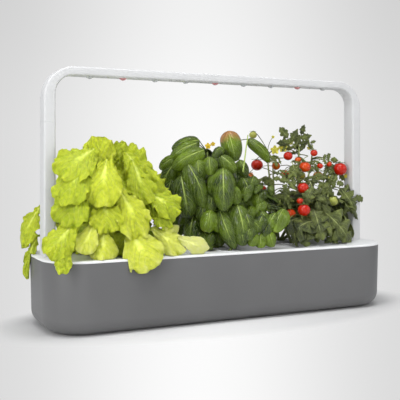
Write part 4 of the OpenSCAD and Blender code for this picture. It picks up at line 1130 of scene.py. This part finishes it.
def basil_bounds(points):
    points = over_lid(points)
    points[..., 0] = eased_below(points[..., 0], edge_at(basil_edge, points))
    points[..., 0] = -eased_below(-points[..., 0], -edge_at(lettuce_edge, points) - 2 * leaf_gap)
    points[..., 1] = -eased_below(-points[..., 1], basil_front)
    return clear_of_trays(points, -1, 1)


def basil_outline(u):
    return np.maximum(1 - np.abs(2 * u ** 0.82 - 1) ** 2.3, 0) ** 0.55 * (1 - 0.1 * u) + 0.012


def branch(foliage, foot, tip, thick, thin, bow=1.0, tone=0.6):
    """Stem that spreads first and then rises."""
    t = np.linspace(0, 1, 14)[:, None]
    share = np.sin(np.pi / 2 * t) * bow + t * (1 - bow)
    path = foot + (tip - foot) * np.concatenate([share, share, t], 1)
    foliage.stem(path, thick, thin, tone)
    return path


basil = Foliage(11, basil_bounds)
# Each stem is its cup's number and its tip.
basil_stems = ((1, (-0.046, -0.024, 0.212)), (1, (-0.062, 0.004, 0.262)), (2, (-0.030, 0.046, 0.270)),
               (2, (0.044, 0.042, 0.282)), (1, (0.022, -0.004, 0.262)), (0, (0.062, -0.046, 0.206)),
               (1, (-0.010, 0.010, 0.275)), (1, (0.070, 0.010, 0.235)))
for cup, tip in basil_stems:
    branch(basil, np.array([0, (cup - 1) * cup_pitch, cup_bed]), np.array(tip), 0.0026, 0.0011)
basil_middle = np.array([0.010, 0.012, 0.175])
basil_reach = np.array([0.088, 0.074, 0.100])


def basil_leaf(base, tip, wide, out=None, **form):
    middle = (base + tip) / 2
    out = unit(middle - basil_middle) + 0.5 * up if out is None else out
    form = {"bow": 0.24, "cup": 0.55, "frill": 0.0006, "waves": 3, "quilt": 0.0032,
            "size": (22, 17), "thickness": 0.0006, **form}
    basil.leaf(base, tip, wide, out, basil_outline, **form)
    basil.stalk(base, 0.0009)


bush_front = 0.2


def inside_bush(foliage, count, middle, reach, lowest, swells, set_back):
    """Ways out of a bush's middle and the places there of its inner leaves, drawn at random."""
    for i in range(count):
        turn = foliage.random.uniform(0, 2 * math.pi)
        height = math.asin(foliage.random.uniform(lowest, 1.0))
        swell = foliage.random.uniform(*swells)
        if math.cos(turn - camera_side) > bush_front:
            swell *= set_back
        way = way_at(turn, height)
        yield way, middle + reach * way * swell


lowest_base = 0.122
tray_side = 0.078
lift_margin = 0.01
bush_slant = 0.45
near_top = math.sin(0.9)
for way, middle in inside_bush(basil, 230, basil_middle, basil_reach, -0.55, (0.45, 0.93), 0.88):
    middle[0] -= bush_slant * (middle[1] - basil_middle[1])
    long = basil.random.uniform(0.032, 0.052) * (1.0 if way[2] < near_top else 0.85)
    droop = unit(np.array([way[0], way[1], -0.9 - 0.9 * basil.random.random() + 0.9 * way[2]])
                 + basil.random.normal(0, 0.2, 3))
    base, tip = middle - droop * long / 2, middle + droop * long / 2
    beside_tray = tip[2] < lift_top + lift_margin and abs(tip[0]) >= tray_side
    if base[2] >= lowest_base and not beside_tray:
        basil_leaf(base, tip, long * basil.random.uniform(0.64, 0.80),
                   tone=basil.random.uniform(0.0, 0.28), size=(12, 8))


front_lift = 0.3


def front_leaf(kind, base, tip, wide, depth, tone, swing=0.0, **form):
    """Leaf of the front layer, from its place in the view, width in the view and two depths."""
    base, tip, toward = ends_in_view(base, tip, depth)
    out = toward + front_lift * up + swing * np.array([*aside, 0])
    kind(base, tip, wide * view_unit(tip), out, tone=tone, **form)


# Front leaves: base and tip in the view, width in the view, depths in mm, tone, turn aside
front_basil_leaves = (
    ((181, 176), (189, 218), 33, (-8, -22), 0.20, -0.1),
    ((223, 168), (224, 211), 26, (-50, -70), 0.24, 0.0),
    ((188, 164), (205, 208), 22, (-16, -36), 0.26, 0.2),
    ((204, 150), (171, 168), 21, (-18, 6), 0.78, -0.2),
    ((197, 143), (170, 158), 20, (-4, 14), 0.66, -0.3),
    ((199, 140), (172, 149), 19, (2, 18), 0.34, -0.2),
    ((192, 158), (178, 184), 20, (2, 12), 0.30, -0.2),
    ((176, 157), (158, 168), 15, (12, 30), 0.60, -0.4),
    ((172, 166), (160, 186), 18, (12, 30), 0.34, -0.4),
    ((170, 180), (163, 204), 18, (10, 24), 0.16, -0.4),
    ((209, 157), (211, 175), 18, (-30, -38), 0.48, -0.1),
    ((198, 160), (200, 180), 17, (-22, -28), 0.40, -0.2),
    ((221, 156), (236, 172), 18, (-34, -46), 0.50, 0.3),
    ((237, 204), (244, 241), 26, (-60, -78), 0.32, 0.2),
    ((220, 211), (235, 249), 20, (-52, -70), 0.24, -0.2),
    ((211, 210), (205, 232), 20, (-40, -50), 0.92, -0.1),
    ((212, 212), (219, 232), 13, (-42, -52), 0.80, 0.2),
    ((212, 233), (207, 244), 13, (-44, -50), 0.34, -0.1),
    ((204, 232), (211, 251), 15, (-36, -46), 0.22, 0.2),
    ((194, 215), (190, 241), 23, (-10, -22), 0.14, -0.2),
    ((199, 231), (203, 253), 17, (-24, -34), 0.12, 0.1),
    ((243, 178), (250, 196), 16, (-40, -50), 0.34, 0.3),
    ((250, 182), (243, 198), 14, (-44, -52), 0.50, -0.2),
    ((256, 192), (260, 208), 14, (-44, -54), 0.56, 0.2),
    ((264, 200), (256, 214), 13, (-50, -58), 0.34, -0.3),
    ((252, 206), (247, 222), 14, (-50, -60), 0.44, -0.2),
    ((262, 212), (268, 226), 14, (-76, -80), 0.40, 0.3),
    ((252, 220), (262, 232), 13, (-78, -84), 0.22, 0.2),
    ((254, 176), (250, 192), 14, (-34, -42), 0.18, -0.1),
    ((240, 226), (244, 246), 16, (-70, -80), 0.20, 0.1),
    ((232, 186), (238, 204), 16, (-54, -64), 0.50, 0.1),
    ((276, 213), (268, 228), 14, (-80, -84), 0.62, -0.2),
    ((284, 209), (275, 232), 18, (-78, -88), 0.88, -0.3),
    ((283, 210), (287, 225), 14, (-76, -82), 0.80, 0.3),
    ((255, 232), (251, 246), 14, (-78, -84), 0.84, -0.2),
    ((261, 234), (260, 248), 14, (-80, -86), 0.76, 0.0),
    ((268, 230), (273, 247), 16, (-80, -88), 0.90, 0.3),
    ((249, 139), (272, 162), 13, (4, -8), 0.66, 0.4),
    # These four very dark leaves at the back fill the gaps between the leaves: painted shade.
    ((246, 214), (251, 230), 15, (-76, -82), 0.06, 0.0),
    ((264, 214), (257, 231), 16, (-76, -82), 0.05, -0.2),
    ((270, 219), (264, 236), 15, (-76, -84), 0.08, 0.0),
    ((252, 224), (247, 240), 15, (-76, -84), 0.12, -0.2),
    ((222, 147), (213, 157), 11, (-20, -26), 0.36, -0.3),
    ((240, 160), (246, 178), 14, (-22, -34), 0.26, 0.2),
    ((216, 171), (214, 198), 18, (-34, -46), 0.12, 0.0),
    ((204, 196), (202, 222), 19, (-20, -32), 0.08, 0.0),
    ((228, 204), (226, 226), 18, (-44, -54), 0.06, 0.0),
    ((212, 186), (210, 214), 18, (-26, -38), 0.06, 0.1))
for base, tip, wide, depth, tone, swing in front_basil_leaves:
    front_leaf(basil_leaf, base, tip, 1.16 * wide, depth, tone, swing=swing, bow=0.34, cup=0.8)
# The top leaf is withered and brown at its base.
withered = 1.8 - 1.65 * leaf_rows(22) ** 0.9
front_leaf(basil_leaf, (228, 131), (236, 161), 25, (-8, -20), withered, bow=0.34, cup=0.7)

# Small leaves fill the right side of the bush, but not in front of the two fruits there.
fill_range = ((244, 166, -56), (271, 212, -20))
fruit_windows = (((257, 165), 16), ((250, 176), 8))
for i in range(34):
    across, down, depth = basil.random.uniform(*fill_range)
    turn, long = basil.random.uniform((-0.9, 9), (0.9, 14))
    tip = (across + long * math.sin(turn), down + long * math.cos(turn))
    if all(math.dist((across, down), middle) >= reach for middle, reach in fruit_windows):
        front_leaf(basil_leaf, (across, down), tip, 0.8 * long, (depth, depth - 8),
                   basil.random.uniform(0.05, 0.55), swing=turn, bow=0.3, cup=0.6, size=(13, 9))

# Pale stems that show between the leaves: three points of each in the view
pale_stems = (((261, 238), (260, 218), (255, 196)), ((246, 222), (243, 200), (241, 178)),
              ((243, 172), (245, 156), (248, 135)))
for line in pale_stems:
    points = [seen(*spot, -0.050 + 0.012 * i) for i, spot in enumerate(line)]
    basil.stem(arc(np.linspace(0, 1, 9)[:, None], *points), 0.0013, 0.0009, 0.9, known=False)

flower_tone = 3.0
flower_petals = {"bow": -0.12, "cup": 0.3, "size": (7, 5), "thickness": 0.0004, "tone": flower_tone}


def flower(foliage, across, down, depth, wide):
    """Yellow flower: five petals round a short cone, from its place in the view, depth and width."""
    middle = seen(across, down, depth / 1000)
    toward = unit(camera_place - middle + 0.15 * up)
    side = unit(np.cross(toward, up))
    over = np.cross(side, toward)
    for i in range(5):
        a = 2 * math.pi * (i + 0.2) / 5
        way = side * math.cos(a) + over * math.sin(a) + toward * 0.2
        foliage.leaf(middle + way * 0.0008, middle + way * wide / 2000, wide / 2500, toward,
                     basil_outline, **flower_petals)
    cone = [middle - toward * 0.0012, middle + toward * 0.003]
    foliage.stem(cone, 0.0013, 0.0006, flower_tone, known=False)
    foliage.stalk(middle - toward * 0.001, 0.0006)


flower(basil, 208, 146, -22, 11)
flower(basil, 213, 144, -18, 8)
basil_piece = basil.piece("basil")
basil_finish, basil_shader = leaf_finish(
    "basil_leaf", (0.008, 0.025, 0.002), (0.17, 0.27, 0.008), (0.42, 0.54, 0.12), 5.5, 0.35, 0.2,
    rise=0.0032, mottle=45, sheen=0.5, marked=0.75, patchy=0.6)
toned_over(basil_finish, basil_shader, (1.05, 1.6, (0.40, 0.19, 0.06)), (2.2, 2.6, (0.85, 0.60, 0.03)))
painted(basil_piece, basil_finish)
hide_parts("basil_plants")
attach(basil_piece, "tray_middle")

# ---- Tomato plants ----------------------------------------------------------------------------
# Bushy dwarf plants. Most leaves have three to seven lobed leaflets on a thin rib, grey-green
# and matt, and yellow flowers and small fruit hang between them.

tomato_front = 0.099
tomato_right = 0.308
gauge_way = 0.020
gauge_rise = 0.0315
cap_low, cap_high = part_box("gauge_cap")
gauge_middle = ((cap_low[0] + cap_high[0]) / 2, (cap_low[1] + cap_high[1]) / 2)


def tomato_bounds(points):
    points = over_lid(points)
    points[..., 0] = -eased_below(-points[..., 0], -edge_at(basil_edge, points) - 2 * leaf_gap)
    points[..., 1] = -eased_below(-points[..., 1], tomato_front)
    points[..., 0] = eased_below(points[..., 0], tomato_right)
    points = clear_of(points, gauge_middle, (gauge_way, gauge_way), cap_high[2] + gauge_rise)
    return clear_of_arm(points, 1)


def lobed_outline(u):
    return (np.maximum(np.sin(np.pi * u ** 0.8), 0) ** 0.8
            * (0.48 + 0.52 * np.abs(np.sin(3.4 * np.pi * u))) + 0.03)


# Each fruit is a place in the view, a depth in mm, a radius in the view and a ripeness.
fruit_list = (
    (340, 169, 4, 6.8, 1.0), (314, 153, 6, 3.6, 0.95), (288, 156, 4, 4.6, 0.97),
    (305, 167, -14, 5.6, 0.8), (320, 166, -4, 3.0, 0.9), (329, 164, 4, 2.8, 0.85),
    (285, 174, 0, 4.2, 0.93), (303, 188, -34, 5.8, 0.97), (276, 166, 26, 4.2, 0.62),
    (304, 210, -62, 6.3, 1.0), (290, 214, -30, 5.8, 0.82), (300, 201, -50, 3.3, 0.9),
    (257, 165, 66, 6.0, 0.95), (250, 176, 64, 3.8, 0.6), (253, 135, 60, 3.9, 0.12),
    (333, 201, -28, 5.2, 0.05), (298, 160, 4, 3.4, 0.7), (318, 176, 30, 5.0, 0.5),
    (262, 190, 62, 5.0, 0.9), (300, 176, 52, 5.5, 0.3))


def hides_fruit(point):
    """True where a point of a leaf stands in front of a fruit."""
    away = point[:2] - camera_place[:2]
    across = view_width * (0.5 + focal * (away @ aside) / (away @ ahead))
    down = view_width * (middle_row - focal * (point[2] - camera_place[2]) / (away @ ahead))
    return any(math.hypot(across - x, down - y) < radius + 7 and point[1] < depth / 1000 + 0.008
               for x, y, depth, radius, ripe in fruit_list)


tomato = Foliage(23, tomato_bounds)
tomato_stems = ((1, (0.126, 0.034, 0.270)), (1, (0.176, 0.006, 0.300)), (2, (0.222, 0.030, 0.290)),
                (1, (0.240, 0.020, 0.225)), (0, (0.150, -0.040, 0.180)), (1, (0.214, -0.030, 0.200)),
                (2, (0.150, 0.055, 0.262)), (2, (0.262, 0.022, 0.235)))
for cup, tip in tomato_stems:
    foot = np.array([tray_pitch, (cup - 1) * cup_pitch, cup_bed])
    branch(tomato, foot, np.array(tip), 0.0030, 0.0012, tone=0.75)
tomato_middle = np.array([0.190, 0.005, 0.180])
tomato_reach = np.array([0.078, 0.068, 0.095])


def tomato_leaf(base, tip, wide, out=None, *, tone, leaflets=5, **form):
    """Compound leaf: a rib with pairs of leaflets and one at its tip."""
    out = unit((base + tip) / 2 - tomato_middle) + 0.5 * up if out is None else out
    along = unit(tip - base)
    length = np.linalg.norm(tip - base)
    out = unit(out - along * (out @ along))
    side = np.cross(along, out)
    control = (base + tip) / 2 + out * 0.16 * length
    rib = arc(np.linspace(0, 0.8, 7)[:, None], base, control, tip)
    tomato.stem(tomato.bounded(rib), 0.0008, 0.0005, 0.5, sides=5, known=False)
    form = {"bow": 0.18, "cup": 0.30, "frill": 0.0012, "waves": 5, "ragged": 0.05,
            "blister": 0.0006, "patch": 0.008, **form}
    for i in range(leaflets):
        pair, sign = divmod(i, 2)
        at = 0.8 if i == leaflets - 1 else 0.62 - 0.24 * pair
        foot = arc(at, base, control, tip)
        if i == leaflets - 1:
            way, reach = along - 0.15 * out, 0.46 * length
        else:
            way = along * 0.45 + side * (1 if sign else -1) - out * 0.25
            reach = 0.525 * wide * (1.0 - 0.16 * pair)
        end = foot + unit(way + tomato.random.normal(0, 0.12, 3)) * reach
        tomato.leaf(foot, end, reach * tomato.random.uniform(0.62, 0.78),
                    out + tomato.random.normal(0, 0.25, 3), lobed_outline,
                    tone=tone + tomato.random.uniform(-0.1, 0.1), **form)
    tomato.stalk(base, 0.0010)


def cut_outline(u):
    return (np.maximum(np.sin(np.pi * u ** 0.85), 0) ** 0.7
            * (0.20 + 0.80 * np.abs(np.sin(3.9 * np.pi * u ** 0.9)) ** 0.8) + 0.02)


def broad_leaf(base, tip, wide, out, **form):
    """Low leaf whose lobes are joined along the rib."""
    tomato.leaf(base, tip, wide, out, cut_outline, bow=0.24, cup=0.25, fold=0.003, quilt=0.0016,
                waves=5, frill=0.001, ragged=0.05, size=(40, 13), **form)
    tomato.stalk(base, 0.0010)


for way, middle in inside_bush(tomato, 130, tomato_middle, tomato_reach, -0.5, (0.35, 0.95), 0.9):
    long = tomato.random.uniform(0.044, 0.070)
    droop = unit(np.array([way[0], way[1], -0.7 + 0.7 * way[2]]) + tomato.random.normal(0, 0.25, 3))
    base, tip = middle - droop * long / 2, middle + droop * long / 2
    if base[2] >= lowest_base and not any(hides_fruit(point) for point in (middle, base, tip)):
        tomato_leaf(base, tip, long * 0.95, tone=tomato.random.uniform(-0.1, 0.95), size=(8, 7))

# Front leaves: base and tip in the view, width in the view, depths in mm, tone, turn aside, leaflets
front_tomato_leaves = (
    ((328, 222), (336, 246), 22, (-44, -56), 0.22, 0.2, 5),
    ((334, 186), (357, 200), 24, (-4, -10), 0.40, 0.4, 5),
    ((338, 190), (354, 214), 22, (-12, -18), 0.20, 0.4, 5),
    ((310, 182), (318, 206), 24, (-40, -50), 0.52, 0.2, 5),
    ((318, 190), (323, 206), 20, (-36, -42), 0.12, 0.0, 5),
    ((298, 174), (283, 188), 22, (-20, -30), 0.44, -0.3, 5),
    ((290, 188), (276, 202), 24, (-26, -34), 0.36, -0.3, 5),
    ((272, 174), (260, 186), 20, (34, 22), 0.50, -0.4, 5),
    ((270, 184), (258, 204), 22, (24, 10), 0.24, -0.3, 5),
    ((282, 196), (268, 212), 22, (0, -10), 0.22, -0.3, 5),
    ((292, 196), (282, 208), 18, (-22, -30), 0.62, -0.3, 5),
    ((312, 184), (328, 192), 18, (-20, -28), 0.56, 0.3, 5),
    ((316, 158), (334, 160), 15, (10, 4), 0.55, 0.3, 5),
    ((324, 160), (332, 170), 13, (10, 4), 0.36, 0.3, 5),
    ((300, 154), (284, 133), 27, (10, 4), 0.30, -0.2, 7),
    ((298, 152), (302, 130), 22, (12, 8), 0.22, 0.1, 7),
    ((292, 150), (282, 144), 14, (14, 10), 0.50, -0.2, 3),
    ((300, 148), (313, 142), 13, (14, 8), 0.62, 0.3, 3),
    ((284, 158), (268, 162), 16, (20, 12), 0.50, -0.3, 5),
    ((313, 170), (320, 184), 18, (-8, -18), 0.50, 0.2, 5),
    ((292, 162), (298, 182), 18, (-14, -24), 0.46, 0.0, 5),
    ((298, 166), (290, 176), 16, (-18, -24), 0.66, -0.3, 5),
    ((290, 168), (276, 180), 18, (2, -8), 0.42, -0.2, 5),
    ((308, 172), (312, 186), 16, (-24, -30), 0.30, 0.1, 5),
    ((276, 200), (266, 216), 20, (6, -8), 0.16, -0.3, 5),
    ((330, 212), (338, 226), 20, (-26, -36), 0.46, 0.2, 5),
    ((322, 176), (340, 184), 16, (-6, -12), 0.60, 0.3, 5),
    ((318, 169), (334, 178), 20, (8, 2), 0.40, 0.3, 5),
    ((324, 166), (342, 178), 18, (14, 8), 0.62, 0.3, 5),
    ((308, 156), (294, 168), 18, (6, -4), 0.48, -0.2, 5),
    ((322, 158), (310, 170), 18, (8, 0), 0.56, 0.0, 5),
    ((276, 178), (264, 184), 16, (10, 4), 0.66, -0.3, 5),
    ((292, 216), (276, 229), 24, (-44, -54), 0.08, -0.3, 5),
    ((288, 224), (294, 244), 22, (-56, -66), 0.12, 0.0, 5))
for base, tip, wide, depth, tone, swing, leaflets in front_tomato_leaves:
    front_leaf(tomato_leaf, base, tip, wide, depth, tone, swing=swing, leaflets=leaflets, size=(15, 7))
broad_tomato_leaves = (
    ((320, 208), (352, 244), 33, (-40, -56), 0.40, 0.3),
    ((314, 210), (322, 240), 26, (-58, -74), 0.36, 0.1),
    ((314, 221), (277, 243), 28, (-62, -80), 0.20, -0.3),
    # This very dark leaf fills a gap behind the basil: painted shade.
    ((306, 224), (305, 247), 22, (-66, -80), 0.10, 0.0),
    ((300, 218), (266, 236), 26, (-40, -50), 0.04, -0.3),
    ((340, 188), (356, 213), 22, (-10, -20), 0.30, 0.4),
    ((330, 214), (334, 244), 22, (-30, -44), 0.14, 0.2),
    ((288, 188), (274, 200), 17, (-30, -38), 0.44, -0.3),
    ((312, 186), (306, 204), 16, (-42, -50), 0.36, -0.1),
    ((322, 184), (332, 196), 15, (-22, -26), 0.48, 0.3))
for base, tip, wide, depth, tone, swing in broad_tomato_leaves:
    front_leaf(broad_leaf, base, tip, wide, depth, tone, swing=swing)

# Each flower is a place in the view, a depth in mm and a width in mm.
tomato_flowers = ((275, 150, 14, 17), (283, 148, 12, 17), (297, 146, 14, 9), (291, 143, 18, 8),
                  (304, 145, 16, 9), (309, 148, 12, 8), (329, 178, 0, 8), (259, 168, 60, 8),
                  (346, 176, 2, 9), (273, 137, 20, 6))
for spot in tomato_flowers:
    flower(tomato, *spot)

# ---- Tomato fruit --------------------------------------------------------------------------------
# Small round fruit from green to ripe red, glossy, each under a five-pointed calyx on
# a short stalk.

fruit_points = bpy.data.meshes.new("fruit_points")
fruit_places = [seen(across, down, depth / 1000) for across, down, depth, wide, ripe in fruit_list]
fruit_sizes = [fruit[3] * view_unit(middle) for fruit, middle in zip(fruit_list, fruit_places)]
for middle, size in zip(fruit_places, fruit_sizes):
    tomato.stalk(middle + 1.05 * size * up, 0.0008, 0.4)
fruit_points.from_pydata([tuple(middle) for middle in fruit_places], [], [])
for name, values in (("size", fruit_sizes), ("ripeness", [fruit[4] for fruit in fruit_list])):
    attribute = fruit_points.attributes.new(name, "FLOAT", "POINT")
    attribute.data.foreach_set("value", np.array(values, np.float32))
fruit_spread = bpy.data.objects.new("fruit_points", fruit_points)
bpy.context.scene.collection.objects.link(fruit_spread)

fruit_steps = 24
fruit_flatness = 0.93
fruit_pole = 0.02
fruit_top = 0.80
dimple_start = 18
dimple_depth = 0.10
fruit_profile = [(fruit_pole, -fruit_flatness)]
for i in range(1, fruit_steps):
    a = math.pi * i / fruit_steps
    dimple = dimple_depth * max(0, (i - dimple_start) / (fruit_steps - dimple_start)) ** 2
    fruit_profile.append((math.sin(a), -fruit_flatness * math.cos(a) - dimple))
fruit_profile.append((fruit_pole, fruit_top))
fruit_shape = turned_profile("fruit_shape", fruit_profile)
fruit_shape.data.shade_smooth()


def calyx_outline(u):
    return np.maximum(np.sin(np.pi * u ** 0.7), 0) ** 0.7 * (1 - 0.3 * u) + 0.012


calyx_maker = Foliage(3, lambda points: points)
for i in range(5):
    way = way_at(2 * math.pi * i / 5, 0)
    calyx_maker.leaf(0.06 * way + 0.88 * up, 0.95 * way + 0.86 * up, 0.32, up, calyx_outline,
                     bow=0.22, cup=0.2, size=(7, 5), tone=0.55, thickness=0.05)
calyx_maker.stem([[0, 0, 0.78], [0, 0, 1.0], [0.02, 0, 1.15]], 0.09, 0.07, 0.6)
calyx_shape = calyx_maker.piece("calyx_shape")


def on_fruit_points(tree, entry, copies):
    """Points of an object, with each copy as large as its point says."""
    points = tree.nodes.new("GeometryNodeObjectInfo")
    size = tree.nodes.new("GeometryNodeInputNamedAttribute")
    size.inputs["Name"].default_value = "size"
    return ((entry.outputs["Points"], points.inputs["Object"]),
            (points.outputs["Geometry"], copies.inputs["Points"]),
            (size.outputs["Attribute"], copies.inputs["Scale"]))


scatter = copies_tree("on_points", (("Points", "Object"),), on_fruit_points)
fruit_skin, fruit_shader, fruit_place = finish_of(
    "tomato_skin", (0.6, 0.02, 0.01), 0.3, Coat_Weight=1.0, Coat_IOR=1.36, Coat_Roughness=0.05,
    Specular_IOR_Level=0.12)
ripeness = fruit_place.node("Attribute", output=2, attribute_name="ripeness")
blush = fruit_place.node("TexNoise", {"Vector": fruit_place, "Scale": 60.0, "Detail": 2.0})
ripeness = ripeness + (blush - 0.5) * 0.16
ripe_colours = ((0.0, (0.36, 0.42, 0.09)), (0.3, (0.48, 0.42, 0.06)), (0.6, (0.70, 0.15, 0.006)),
                (0.85, (0.56, 0.030, 0.002)), (1.0, (0.48, 0.010, 0.001)))
ripeness.node("ValToRGB", {0: ripeness}, stops=ripe_colours).into(fruit_shader, "Base Color")
blush.stepped(0.3, 0.7, 0.26, 0.36).into(fruit_shader, "Roughness")
fruit = grown("tomato_fruit", scatter,
              {"Points": fruit_spread, "Shape": fruit_shape, "Finish": fruit_skin})
fruit.data.shade_smooth()
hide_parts("tomato_fruits")
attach(fruit, "tray_right")

tomato_finish, tomato_shader = leaf_finish(
    "tomato_leaf", (0.010, 0.020, 0.006), (0.23, 0.28, 0.055), (0.44, 0.50, 0.18), 5.0, 0.5, 0.38,
    rise=0.0026, mottle=90, sheen=0.45, patchy=0.6)
toned_over(tomato_finish, tomato_shader, (1.6, 2.2, (0.86, 0.79, 0.10)))
calyx = grown("tomato_calyx", scatter,
              {"Points": fruit_spread, "Shape": calyx_shape, "Finish": tomato_finish})
calyx.data.shade_smooth()
tomato_piece = painted(tomato.piece("tomato"), tomato_finish)
for piece in (tomato_piece, calyx):
    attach(piece, "tray_right")
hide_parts("tomato_plants")
for shape in (fruit_spread, fruit_shape, calyx_shape):
    bpy.data.objects.remove(shape)
